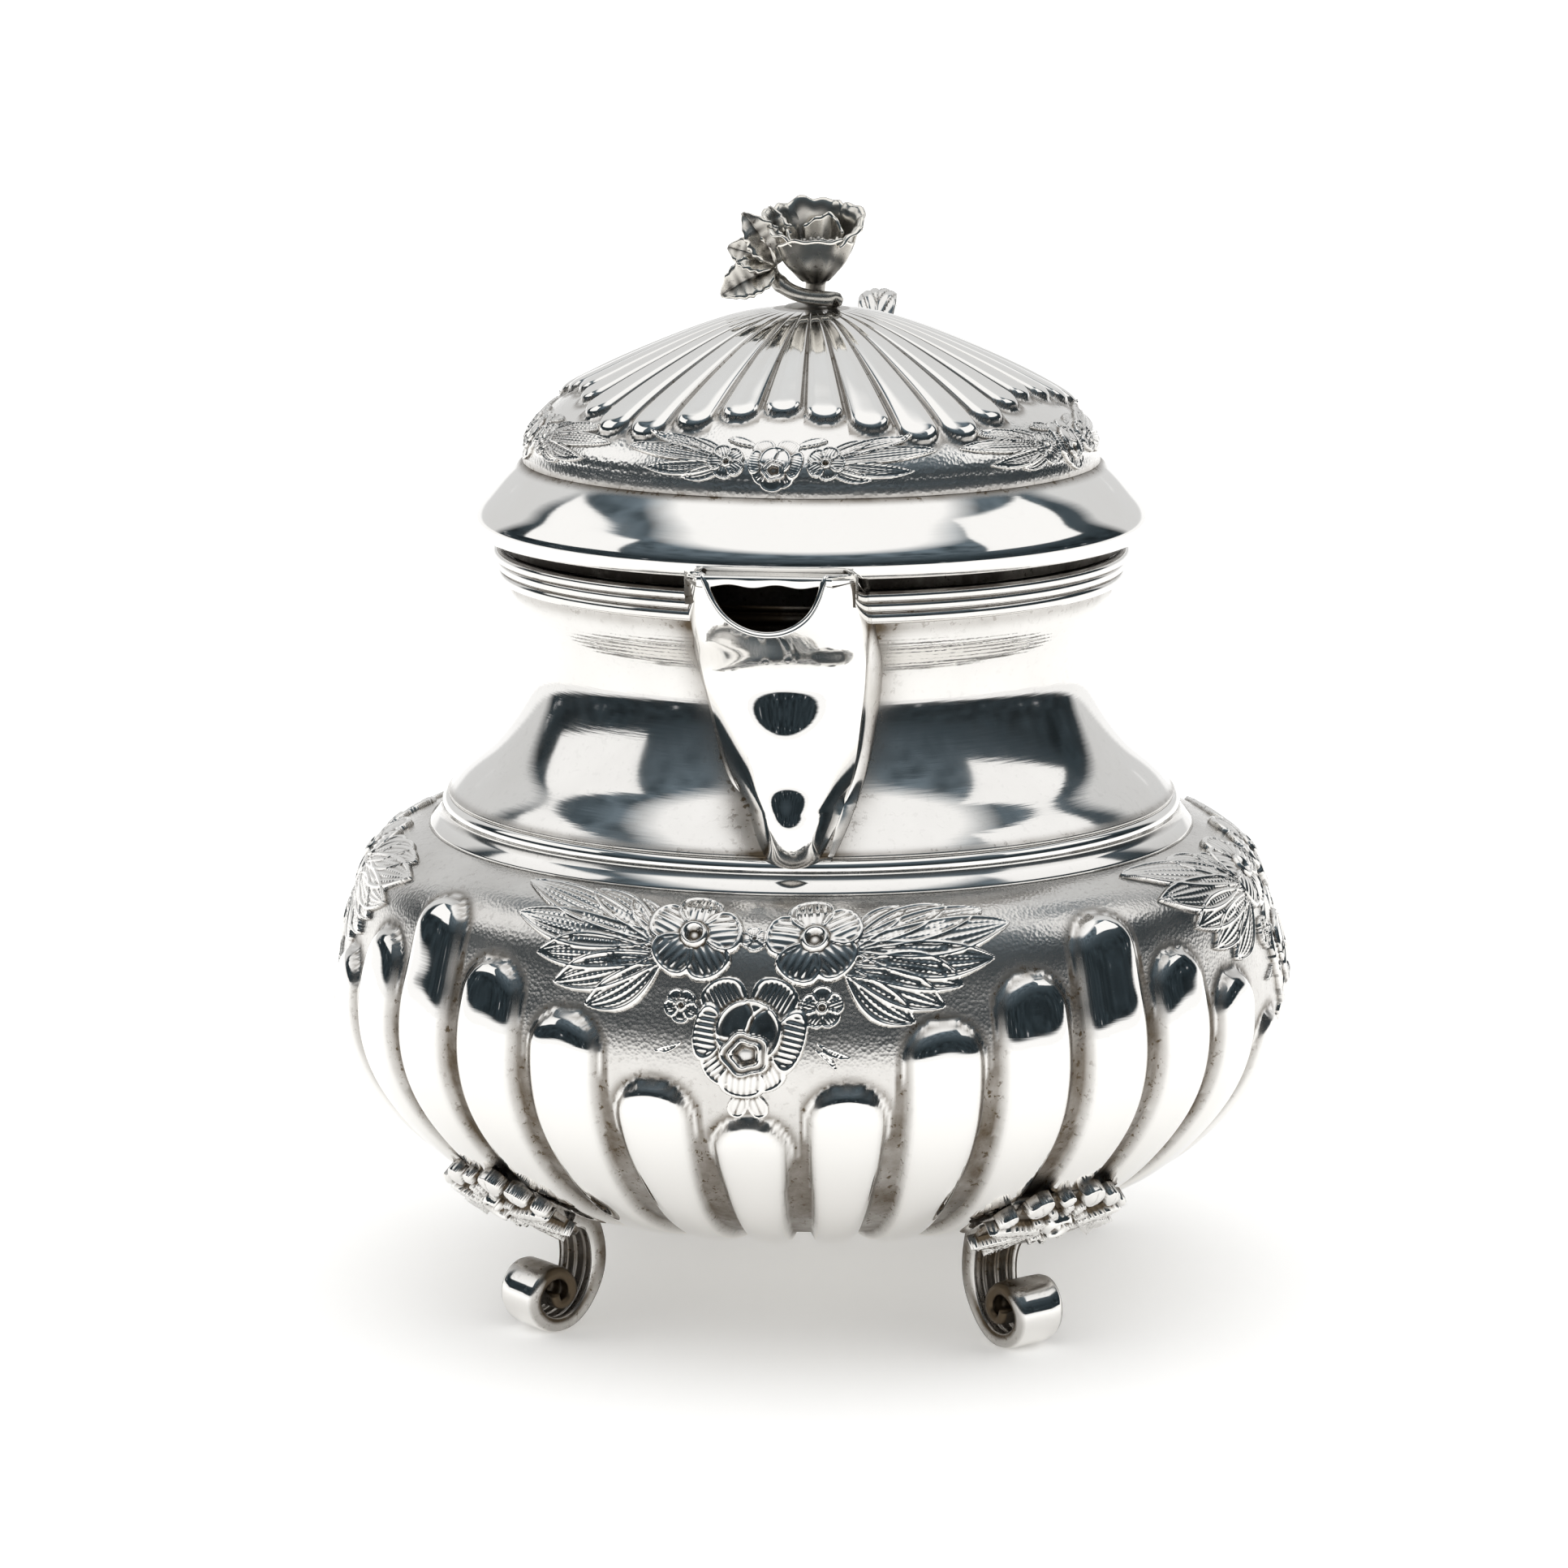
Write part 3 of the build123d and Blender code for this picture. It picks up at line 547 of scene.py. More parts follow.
def bowl_lift(u, v):
    """How far the bowl stands off its ground line, how dark and how rough it is."""
    pitch = 2 * np.pi / LOBES
    lobe = np.round(u / pitch)
    place = place_in_garland(lobe, LOBES, BOWL_GARLANDS)
    tip = np.take(LOBE_TIP_V, place)
    lowest = LOBE_TIP_V[0]
    radius = bowl_ground.radius(v)
    half = np.radians(LOBE_HALF - 0.7 * smooth(lowest, lowest - 26, v)) * np.maximum(radius, 1)
    across = (u - lobe * pitch) * radius
    head = np.radians(LOBE_HALF) * np.take(bowl_ground.radius(np.array(LOBE_TIP_V)), place)
    beyond = np.maximum(v - (tip - head), 0)
    d = np.hypot(across / half, beyond / head)
    body = np.sqrt(np.clip(1 - d**3.2, 0, 1))
    lip = 0.28 * bell(d, 1.06, 0.05) * smooth(-6, 0, v - tip + head)
    fade = smooth(12, 34, radius)
    sunk = LOBE_HIGH * (1 - 0.8 * smooth(LOBE_TIP_V[2], LOBE_TIP_V[4], v))
    lift = fade * (LOBE_HIGH * body + lip) - sunk * fade
    ditch = bell(d, 1.0, 0.13)
    ground = smooth(lowest - 30, lowest - 6, v)
    near = bell(d, 1.15, 0.16) * (d > 1) + 0.2 * bell(v, bowl_ground.length - 1, 2.2)
    chased = (0.26 + 0.50 * np.clip(near, 0, 1)) * ground
    between = smooth(0, 2.5, tip - head - v)
    gap = np.where(between > 0, np.maximum(0.85 * between, chased + 0.85 * (1 - ground)), chased)
    dark = np.where(d > 1, gap, 0.6 * np.clip(ditch, 0, 1)) * fade
    dark = dark * (1 - 0.8 * smooth(0.02, 0.2, lip))
    rough = (d > 1.1) * smooth(lowest - 30, lowest - 10, v)
    return lift, dark, rough.astype(float)


def make_bowl():
    depth = WALL + LOBE_HIGH
    bowl = chased_shell("bowl_chased", bowl_ground, bowl_lift, BOWL_GRID, depth, 0.25, 0.2)
    finish_piece(bowl, "pot", "polished_silver", "bowl")
    middle = float(bowl_ground.v_at(BOWL_ROSE_HEIGHT))
    for quarter in range(BOWL_GARLANDS):
        garland = applied(
            f"bowl_garland_{quarter + 1}", bowl_ground, quarter * 2 * np.pi / BOWL_GARLANDS, middle,
            bowl_garland, BOWL_GARLAND_SIZE, lambda u, v: bowl_lift(u, v)[0],
        )
        finish_piece(garland, "pot", "polished_silver")


# ---- neck, mouldings and lid rim ----
NECK_POINTS, RIM_POINTS, BEAD_POINTS = 130, 70, 14
SPOUT_INSIDE, SPOUT_FLOOR = 11.0, 90.0  # half width and bottom of what shows through the spout's mouth


def make_neck():
    outer = spline(NECK, NECK_POINTS)
    outline = np.concatenate([outer, parallel(outer, WALL)[::-1]])
    reach, z = outline.T
    turned_lines = np.where(np.arange(len(z)) < NECK_POINTS, 0.45 * smooth(101.5, 106, z), 0.3)
    # The neck's even tone, darker in a band just under the collar and in a line at its foot, with painted
    # shade beside the spout and inside the spout's mouth.
    tarnish_and_painted_shade = 0.35 * bell(z, 109.8, 1.2) + 0.11 + 0.4 * bell(z, 78.0, 0.5)
    u = full_turn(AROUND)[:, None]
    beside = np.abs(reach * np.sin(u) - spout_lean(z)) - np.interp(z, BEAK_LINE[:, 0], BEAK_LINE[:, 1])
    tarnish_and_painted_shade = tarnish_and_painted_shade + 0.6 * bell(np.clip(beside, 0, None), 0, 3.2) * (np.cos(u) > 0)
    tarnish_and_painted_shade = np.where(in_spout(outline, u), 1.0, tarnish_and_painted_shade)
    neck = ring("neck_turned", outline, neck_silver, tarnish_and_painted_shade, turned_lines)
    finish_piece(neck, "pot", "satin_silver", "neck")


def in_spout(outline, u):
    """Whether the points of a turned piece lie inside the spout, where painted shade makes the silver black.
    """
    reach, z = np.array(outline).T
    aside = np.abs(reach * np.sin(u) - spout_lean(z))
    return (aside < SPOUT_INSIDE) & (np.cos(u) > 0) & (z > SPOUT_FLOOR)


def bead(centre, radius, first, last):
    """Arc of a moulding, its angles in degrees."""
    a = np.radians(np.linspace(first, last, BEAD_POINTS))
    return [(centre[0] + radius * math.cos(k), centre[1] + radius * math.sin(k)) for k in a]


def make_mouldings():
    shoulder = [(52.6, 73.0), (58.9, 72.5), (58.5, 73.2), (57.3, 74.3), (56.5, 75.1)]
    shoulder += bead((55.4, 76.1), 1.3, -30, 84) + [(54.8, 77.2), (52.6, 77.2)]
    shade = [0.15, 0.4, 0.12, 0.05, 0.45] + [0.02] * BEAD_POINTS + [0.8] * 2
    made = ring("shoulder_ring_turned", shoulder, polished, shade)
    finish_piece(made, "pot", "polished_silver", "shoulder_ring")

    collar = [(46.2, 110.4)] + bead((47.0, 111.35), 0.95, -80, 60) + bead((47.35, 113.05), 0.85, -60, 55)
    collar += bead((47.9, 114.55), 0.85, -55, 90) + [(46.4, 115.4)]
    groove, crest = [0.7] * 4, [0.1] * (BEAD_POINTS - 4)
    shade = [0.7, 0.75, 0.75] + crest + groove + crest + groove + [0.1] * (BEAD_POINTS - 2) + [0.5]
    shade = np.where(in_spout(collar, full_turn(AROUND)[:, None]), 1.0, shade)
    made = ring("mouth_collar_turned", collar, polished, shade)
    finish_piece(made, "pot", "polished_silver", "mouth_collar")

    outer = spline(LID_RIM, RIM_POINTS)
    rim = np.concatenate([outer, parallel(outer, 0.9)[::-1]])
    under_dome = smooth(RIM_POINTS - 10, RIM_POINTS - 1, np.arange(RIM_POINTS))
    shade = np.concatenate([0.03 + 0.8 * under_dome, np.full(RIM_POINTS, 0.4)])
    made = ring("lid_rim_turned", rim, polished, shade)
    finish_piece(made, "lid", "polished_silver", "lid_rim")

    bezel = [(44.0, 111.2), (45.0, 111.2), (45.0, 115.7), (47.6, 115.7)]
    bezel += [(47.6, 117.3), (50.2, 117.6), (50.7, 118.1), (44.0, 118.1)]
    # The bezel is dark all over: its oxidised tone, and painted shade in the gap under the lid's rim.
    made = ring("lid_bezel_turned", bezel, oxidised, [0.9] * len(bezel))
    finish_piece(made, "lid", "oxidised_silver", "lid_bezel")


# ---- lid dome ----
FLUTES, LID_GARLANDS = 35, 5
FLUTE_HALF, FLUTE_HIGH = 4.75, 1.15  # half width in degrees, height in mm
FLUTE_TIP_R = (36.0, 37.2, 39.2, 41.2)  # reach of a flute's tip, from a garland's middle outwards
DOME_GRID = (1050, 140, 40)
LID_ROSE_UP = 5.4  # how far up the dome the middle of a garland's rose is
LID_GARLAND_SIZE = (25.5, 4.6, 5.2)
dome_ground = Turned(DOME)


def dome_lift(u, v):
    """How far the dome stands off its outline, how dark and how rough it is."""
    pitch = 2 * np.pi / FLUTES
    flute = np.round(u / pitch)
    tip_r = np.take(FLUTE_TIP_R, place_in_garland(flute, FLUTES, LID_GARLANDS))
    tip = dome_ground.v_out(tip_r)
    radius = dome_ground.radius(v)
    half = np.radians(FLUTE_HALF) * np.maximum(radius, 2)
    head = np.radians(FLUTE_HALF) * tip_r
    across = (u - flute * pitch) * radius
    beyond = np.maximum(tip + head - v, 0)
    d = np.hypot(across / half, beyond / head)
    body = np.sqrt(np.clip(1 - d**4, 0, 1))
    near = smooth(5, 14, radius) * (0.35 + 0.65 * smooth(12, 34, radius))
    swell = 1 + 0.12 * bell(v - tip, 0.7 * head, 0.8 * head)
    lift = FLUTE_HIGH * near * body * swell - FLUTE_HIGH * 0.6 * near
    lip = bell(d, 1.08, 0.07) * (v < tip + head)
    lift = lift + 0.22 * lip * near
    field = v < tip
    ringed = 0.5 * bell(d, 1.25, 0.2)
    dark = np.where(d > 0.9, np.where(field, 0.06 + ringed, 0.62), 0.03)
    dark = dark * (1 - 0.5 * lip) * smooth(3, 8, radius)
    dark = np.where(radius < 6, 0.6, dark)
    rough = (d > 1.15) * field
    foot = bell(v, 0, 0.9)
    return lift * smooth(0, 2.5, v), np.clip(dark + 0.5 * foot, 0, 1), 1.3 * rough


def make_dome():
    dome = chased_shell("lid_dome_chased", dome_ground, dome_lift, DOME_GRID, WALL + 0.5, 0.3, 0.3)
    finish_piece(dome, "lid", "polished_silver", "lid_dome")
    for k in range(LID_GARLANDS):
        garland = applied(
            f"lid_garland_{k + 1}", dome_ground, k * 2 * np.pi / LID_GARLANDS, LID_ROSE_UP,
            lid_garland, LID_GARLAND_SIZE, lambda u, v: dome_lift(u, v)[0], cell=0.13,
        )
        finish_piece(garland, "lid", "polished_silver")


# ---- sheets and bars ----
def surface_normals(points):
    """Unit normals of a grid of points."""
    rows, columns = np.gradient(points, axis=0), np.gradient(points, axis=1)
    n = np.cross(rows, columns)
    return n / (np.linalg.norm(n, axis=2, keepdims=True) + 1e-12)


def joined(parts):
    """One set of points and faces from several."""
    shift = np.cumsum([0] + [len(points) for points, *_ in parts])
    points = np.concatenate([points for points, *_ in parts])
    faces = np.concatenate([faces + start for (_, faces, _), start in zip(parts, shift)])
    return points, faces, np.concatenate([shade for *_, shade in parts])


def sheet(points, thickness, dark):
    """Closed thin sheet on both sides of a grid of points in mm."""
    n = surface_normals(points)
    rim = np.ones(points.shape[:2])
    rim[[0, -1], :] = 0.25
    rim[:, [0, -1]] = 0.25
    lift = (n * rim[..., None]) * thickness / 2
    rows, columns = points.shape[:2]
    front, back = (points + lift).reshape(-1, 3), (points - lift).reshape(-1, 3)
    top = grid_faces(rows, columns)
    index = np.arange(rows * columns).reshape(rows, columns)
    border = np.concatenate([index[0, :-1], index[:-1, -1], index[-1, :0:-1], index[:0:-1, 0]])
    after = np.roll(border, -1)
    side = np.stack([border, border + rows * columns, after + rows * columns, after], axis=-1)
    faces = np.concatenate([top, top[:, ::-1] + rows * columns, side])
    shade = np.broadcast_to(dark, (rows, columns)).ravel()
    return np.concatenate([front, back]), faces, np.concatenate([shade, shade])


def bar(route, across, sizes, section, dark=0.1):
    """Bar along a route. across is the direction of the section's side. The section's (side, out) points are
    scaled at each point of the route by one size or by (wide, thick)."""
    route, section = np.asarray(route, float), np.asarray(section, float)
    go = np.gradient(route, axis=0)
    go /= np.linalg.norm(go, axis=1)[:, None]
    side = np.broadcast_to(np.asarray(across, float), route.shape)
    out = np.cross(go, side)
    out /= np.linalg.norm(out, axis=1)[:, None]
    sizes = np.broadcast_to(sizes, (len(route), 2))
    wide = side[:, None] * (section[None, :, 0] * sizes[:, :1])[..., None]
    thick = out[:, None] * (section[None, :, 1] * sizes[:, 1:])[..., None]
    rings = route[:, None] + wide + thick
    ends = np.repeat(rings.mean(axis=1, keepdims=True)[[0, -1]], len(section), axis=1)
    rings = np.concatenate([ends[:1], rings, ends[1:]])
    shade = np.broadcast_to(np.asarray(dark, float), (len(route), len(section)))
    shade = np.concatenate([shade[:1], shade, shade[-1:]])
    return rings.reshape(-1, 3), grid_faces(len(rings), len(section), False, True), shade.ravel()


def round_section(count=24, power=2.0):
    """Unit circle, or a rounder square for a larger power."""
    a = full_turn(count)
    c, s = np.cos(a), np.sin(a)
    return np.stack([np.sign(c) * np.abs(c) ** (2 / power), np.sign(s) * np.abs(s) ** (2 / power)], axis=-1)


def piece(name, parts, material, body, slot, *nodes):
    """Object made of several sheets and bars."""
    points, faces, shade = joined(parts)
    made = new_mesh(name, at(*points.T), faces, material, shade)
    return finish_piece(made, body, slot, *nodes)


# ---- spout ----
# height, half width and reach from the pot's axis
BEAK = [
    (75.9, 0.8, 55.4), (76.8, 3.4, 57.8), (79.0, 5.0, 59.6), (82.0, 6.4, 60.3), (84.5, 7.4, 59.9),
    (88.0, 8.7, 58.8), (93.0, 10.0, 58.9), (97.0, 10.8, 58.7), (101.0, 11.6, 57.6), (104.5, 12.1, 57.4),
    (108.0, 12.6, 59.4), (113.0, 13.2, 63.4), (119.6, 13.0, 67.2),
]
BEAK_LINE = spline(BEAK, 300)
SPOUT_KNEE, SPOUT_WALL = 48.0, 1.25
MOUTH_LIP = (62.2, 110.2)  # reach and height of the lowest part of the lip
PLATE_FRONT, PLATE_TOP = 60.6, 119.6  # of the roof, in front of the lid
ROOF_BACK, ROOF_LOW, ROOF_THICK = 52.8, 115.4, 1.6
BEAK_TOP = 119.4
UNDER_LID = [(48.0, ROOF_LOW), (50.5, 116.2), (51.6, 117.0), (52.8, 118.4), (60.0, 119.3)]  # (reach, height)


def beak_points(round_it, z, inset=0.0):
    """Points of the beak: round_it goes from -1 at the left root over 0 at the nose to 1."""
    wide = np.maximum(np.interp(z, BEAK_LINE[:, 0], BEAK_LINE[:, 1]) - inset, 0.05)
    reach = np.interp(z, BEAK_LINE[:, 0], BEAK_LINE[:, 2]) - inset
    neck = np.array(NECK)
    neck = np.interp(z, neck[:, 1], neck[:, 0], left=55.9)
    root = np.sqrt(np.maximum((neck - 0.6) ** 2 - wide**2, 1))
    knee = np.minimum(np.maximum(SPOUT_KNEE, root), reach - 0.2)
    a = np.clip(round_it / 0.8, -1, 1) * np.pi / 2
    back = np.clip((np.abs(round_it) - 0.8) / 0.2, 0, 1)
    flange = (0.4 + 1.3 * smooth(112, 104, z)) * smooth(0.80, 1.0, np.abs(round_it)) ** 1.5 * (inset == 0)
    x = (wide + flange) * np.sin(a) + spout_lean(z)
    sharp = 1.25 + 0.75 * smooth(109, 102, z)
    r = knee + (reach - knee) * np.cos(a) ** sharp - (knee - root) * back
    return x, r


def spout_lean(z):
    """How far the middle of the spout is to the right of the pot's middle."""
    return 4.2 - 3.6 * (z - 76.4) / 43.2


def mouth_height(round_it):
    """Where the line up the beak meets the slanting mouth, or the roof."""
    z = np.linspace(100, BEAK_TOP, 300)
    x, r = beak_points(round_it[:, None], z[None, :])
    lip_reach, lip_z = MOUTH_LIP
    past = r > lip_reach + (PLATE_FRONT - lip_reach) * (z - lip_z) / (PLATE_TOP - lip_z)
    end = np.where(past.any(axis=1), z[past.argmax(axis=1)], BEAK_TOP)
    return np.minimum(end, np.interp(r[:, -1], *np.transpose(UNDER_LID)))


def spout_body():
    """Thin wall of the beak: up its outside, over its edge and down its inside."""
    t = np.linspace(-1, 1, 161)
    top = np.convolve(np.pad(mouth_height(t), 2, "edge"), [0.1, 0.2, 0.4, 0.2, 0.1], "valid")
    foot = BEAK[0][0]
    z = foot + np.linspace(0, 1, 120)[:, None] * (top - foot)
    over = np.radians(np.linspace(0, 180, 9))[:, None]
    z_edge = top + 0.5 * SPOUT_WALL * np.sin(over)
    inset_edge = 0.5 * SPOUT_WALL * (1 - np.cos(over))
    levels = np.concatenate([z, z_edge, z[::-1]])
    insets = np.concatenate([0 * z, inset_edge + 0 * z_edge, SPOUT_WALL + 0 * z])
    x, r = beak_points(t[None, :] + 0 * levels, levels, insets)
    root = 0.62 * smooth(0.84, 0.99, np.abs(t))
    crease = 0.4 * bell(np.abs(t), 0.81, 0.022)
    outside = np.maximum.reduce([root + 0 * z, crease + 0 * z, 0.62 * bell(z, 77, 1.6)])
    shade = np.concatenate([outside, 0.02 + 0 * z_edge, 0.95 + 0 * z])
    return np.stack([x, -r, levels], axis=-1).reshape(-1, 3), grid_faces(*levels.shape), shade.ravel()


def spout_roof():
    """Flat plate over the beak, stepped down where it goes under the lid."""
    front, low, top = PLATE_FRONT, PLATE_TOP - ROOF_THICK, PLATE_TOP
    outline = np.array([
        (46.6, ROOF_LOW - 1.1), (46.6, ROOF_LOW), (ROOF_BACK, ROOF_LOW), (ROOF_BACK, top - 0.6),
        (front - 0.5, top - 0.1), (front - 0.15, top - 0.15), (front, top - 0.35),
        (front - 0.12, low + 0.2), (front - 0.3, low),
        (ROOF_BACK + 1.1, low), (ROOF_BACK + 1.1, ROOF_LOW - 1.1),
    ])
    side = np.linspace(-1, 1, 60)[None, :]
    reach, high = outline[:, :1] + 0 * side, outline[:, 1:] + 0 * side
    half = 13.2 * np.sqrt(1 - (np.clip(reach - SPOUT_KNEE, 0, None) / 19.5) ** 1.8)
    wave = 0.22 * np.sin(9 * side) * (high < low + 0.6) * (reach > ROOF_BACK + 1.5)
    roof = np.stack([side * half + spout_lean(118), -reach, high + wave], axis=-1)
    shade = 0.9 * ((high <= low + 0.1) | (reach < 50)) + 0 * side
    return roof.reshape(-1, 3), grid_faces(*roof.shape[:2], wrap_rows=True), shade.ravel()


def make_spout():
    piece("spout_beak", [spout_body(), spout_roof()], polished, "pot", "polished_silver", "spout")


# ---- feet ----
FOOT_ROUTE = [
    (50.5, 19.6), (46.6, 17.4), (44.3, 13.8), (43.9, 9.8), (45.2, 5.4), (48.7, 1.7), (52.9, 1.8),
    (55.3, 4.9), (54.1, 8.4), (51.1, 9.5), (48.9, 7.7), (49.3, 5.2), (51.2, 4.7), (51.9, 6.2),
]
FOOT_WIDE, FOOT_POINTS = 8.2, 150
FOOT_PLATE = [(50.2, 15.2), (54.0, 17.8), (57.8, 21.0), (61.2, 24.6), (64.2, 28.8)]
FOOT_FLOWERS_SIZE = (16.5, 9.5, 10.0)
# place and size of the lumps on the plate's top edge, and tip, width and bend of the blades on either side
FOOT_LUMPS = [(-10.4, 1.1), (-5.8, 1.6), (-1.4, 1.0), (3.6, 1.7), (8.2, 1.4), (11.6, 0.9)]
FOOT_BLADES = [((13.6, -2.6), 2.3, -0.8), ((12.6, 1.2), 2.0, -0.4), ((10.0, -5.6), 2.0, 0.6)]
foot_ground = Turned(FOOT_PLATE)


def foot_flowers(x, y):
    """Sunk plate with a C-shaped flower, blades beside it and lumps on its top edge, in mm from its centre."""
    drop = y + 0.014 * x**2
    plate = (np.abs(x / 12.6) ** 2.2 + np.abs((drop + 0.4) / 7.0) ** 2.2) < 1
    ridges = []
    for side in (-1, 1):
        for tip, wide, bend in FOOT_BLADES:
            ridges.append(0.9 + leaf_shape(side * x, y, (3.6, 0.2), tip, wide, bend, 1.2))
    for angle in range(20, 345, 36):
        a = math.radians(angle)
        middle = (4.0 * math.cos(a), 4.0 * math.sin(a))
        ridges.append(0.9 + petal(x, y, middle, angle, 1.2, 0.7, 1.1))
    for place, size in FOOT_LUMPS:
        middle = (place, 6.2 - 0.012 * place**2)
        lump = petal(x, drop, middle, 100 - 3 * place, 1.1 * size, 1.25 * size, 1.9, rim=0.2)
        ridges.append(0.5 + lump)
    high = np.where(plate, 0.5, OFF)
    for ridge in ridges:
        high = np.where(ridge > 1.0, np.maximum(high, ridge), high)
    reach, turn = np.hypot(x, y), np.degrees(np.arctan2(y, x))
    ring_at = 1.0 + 1.5 * bell(reach, 2.0, 0.55) + 1.4 * bell(reach, 0, 0.7)
    c_shape = (reach < 2.7) & ((np.abs(turn - 20) > 24) | (reach < 1.0))
    return np.where(c_shape, ring_at, high)


def fluted_section(count=9):
    """Section of a foot's leg: a flat back, and upright flutes between two rims on the outer face."""
    a = np.linspace(-1, 1, 8 * count + 1)
    face = 0.55 + 0.16 * np.cos(np.pi * a * 4) * (np.abs(a) < 0.8)
    face = face + 0.45 * bell(np.abs(a), 0.88, 0.09)
    face = face * np.sqrt(np.clip(1 - np.abs(a) ** 30, 0, 1))
    back = [(0.96, -0.7), (0.8, -0.95), (0.4, -1.0), (0, -1.0), (-0.4, -1.0), (-0.8, -0.95), (-0.96, -0.7)]
    return np.concatenate([np.stack([a, face], axis=-1), back])


def foot_shade(section, run):
    """How dark a foot's leg and scroll are, along the route and round the section."""
    aside, out = section.T
    outer = out > 0
    face = np.maximum(0.55 * bell(out, 0.45, 0.12) * outer, 0.75 * (np.abs(aside) < 0.78) * outer)
    face = np.maximum(face, 0.7 * (out < 0.2))
    leg = (1 - smooth(0.22, 0.4, run))[:, None]
    scroll = smooth(0.2, 0.4, run)[:, None]
    eye = smooth(0.70, 0.78, run)[:, None]
    return (0.12 + face) * leg + 0.04 + (0.4 * (np.abs(aside) > 0.93) + 0.5 * outer) * scroll + 0.75 * eye


def make_foot(name, degrees):
    """Foot at that angle, anticlockwise from +X as seen from above."""
    a = math.radians(degrees)
    turn = a + np.pi / 2
    route = spline(FOOT_ROUTE, FOOT_POINTS)
    run = np.linspace(0, 1, FOOT_POINTS)
    line = np.stack([route[:, 0] * math.cos(a), route[:, 0] * math.sin(a), route[:, 1]], axis=-1)
    wide = FOOT_WIDE / 2 * (1.15 + 0.75 * bell(run, 0, 0.12) - 0.17 * smooth(0.25, 0.5, run))
    wide = wide * (1 + 0.14 * smooth(0.62, 0.78, run))
    thick = 1.5 + 0.8 * bell(run, 0, 0.1) - 0.3 * smooth(0.2, 0.42, run) - 0.4 * smooth(0.6, 1.0, run)
    section = fluted_section()
    sizes = np.stack([wide, thick], axis=-1)
    leg = bar(line, (-math.sin(a), math.cos(a), 0), sizes, section, foot_shade(section, run))
    piece(f"{name}_scroll", [leg], polished, "pot", "polished_silver", name)
    flowers = applied(
        f"{name}_flowers", foot_ground, turn, 0.52 * foot_ground.length,
        foot_flowers, FOOT_FLOWERS_SIZE, lambda u, v: 0 * v, tone=0.05, sunk=1.3,
    )
    finish_piece(flowers, "pot", "polished_silver")
    v = np.linspace(0.08, 0.76, 20)[:, None]
    u = np.radians(10.5) * np.linspace(-1, 1, 40)[None, :] * np.sin(np.pi * np.clip(v, 0.15, 0.7)) ** 0.5
    backing = foot_ground.points(turn + u, v * foot_ground.length + 0 * u, -1.3 + 0 * u)
    backing = (backing - (AXIS_X, AXIS_Y, 0)) / MM
    piece(f"{name}_plate", [sheet(backing, 2.4, 0.6)], polished, "pot", "polished_silver")


# ---- rose finial ----
ROSE_BASE = np.array([0.6, 0.0, 155.8])  # mm: the bottom of the rose's cup
ROSE_TILT = math.radians(12)
# angle and half width in degrees, height, radius at the foot and at the lip, curl, and seed of each petal
OUTER_PETALS = [
    (78, 40, 9.8, 1.8, 6.2, 0.9, 2),
    (128, 44, 11.2, 1.7, 6.9, 0.7, 3),
    (186, 46, 11.6, 1.7, 7.0, 0.5, 4),
    (244, 42, 11.4, 1.7, 7.0, 0.6, 5),
    (296, 40, 10.0, 1.8, 6.4, 0.7, 6),
]
INNER_PETALS = [
    (40, 40, 7.6, 1.2, 4.3, 0.1, 7),
    (160, 50, 9.0, 1.2, 4.6, 0.1, 8),
    (275, 48, 8.4, 1.2, 4.4, 0.1, 9),
]
STAMENS = 11
# base, tip, half width, droop and seed of each leaf
FINIAL_LEAVES = [
    ((-4.6, -2.0, 158.4), (-10.2, -2.6, 166.0), 2.6, 0.9, 1),
    ((-5.0, -2.6, 157.6), (-13.4, -3.2, 153.4), 3.0, 0.9, 2),
    ((-5.0, -2.4, 158.0), (-12.6, -1.6, 160.6), 2.7, 1.0, 3),
    ((-4.4, -1.0, 159.0), (-6.6, 1.6, 166.6), 2.2, 0.7, 4),
]
STALK = [
    (2.6, 0.5, 152.5), (4.0, -2.2, 153.0), (0.2, -4.6, 153.6), (-4.2, -3.0, 155.2),
    (-6.2, -1.0, 158.0), (-5.2, -0.4, 160.0), (-3.4, 0.2, 160.4),
]
ROSE_NECK = [(0.0, 0.2, 150.6), (0.4, 0.2, 153.2), (0.7, 0.0, 156.8)]


def rose_petal(angle, half_turn, height, foot_r, lip_r, curl, seed, ragged=0.35):
    """Cupped petal, its middle at that angle in degrees from the spout's side, and its edge rolled out."""
    local = np.random.default_rng(seed)
    a = np.linspace(-1, 1, 29)[None, :]
    t = np.linspace(0, 1, 25)[:, None]
    waves = ragged * 0.09 * np.sin(a * 5 + local.uniform(0, 6)) + 0.02 * np.sin(a * 12 + seed)
    edge = 1 - 0.22 * np.abs(a) ** 3 + waves
    z = height * edge * (t - curl * 0.16 * np.clip(t - 0.75, 0, 1) ** 2 * 16)
    r = foot_r + (lip_r - foot_r) * np.sin(t * np.pi / 2) ** 0.8
    r = r + curl * 1.6 * np.clip(t - 0.7, 0, 1) ** 2 * 11
    r = r + 0.25 * np.sin(a * 6 + seed) * t**2 - 0.5 * np.abs(a) ** 3 * t
    spread = 0.45 + 0.55 * np.sin(np.clip(t * 1.4, 0, 1) * np.pi / 2)
    turn = math.radians(angle) + math.radians(half_turn) * a * spread
    x, y = r * np.sin(turn), -r * np.cos(turn)
    c, s = math.cos(ROSE_TILT), math.sin(ROSE_TILT)
    y, z = y * c - z * s, y * s + z * c
    dark = 0.22 + 0.6 * (1 - t) ** 1.2 - 0.4 * smooth(0.86, 1.0, t)
    dark = dark + 0.25 * np.sin(a * 11 + seed) * (1 - t)
    return sheet(np.stack([x, y, z], axis=-1) + ROSE_BASE, 0.55, np.clip(dark, 0, 1))


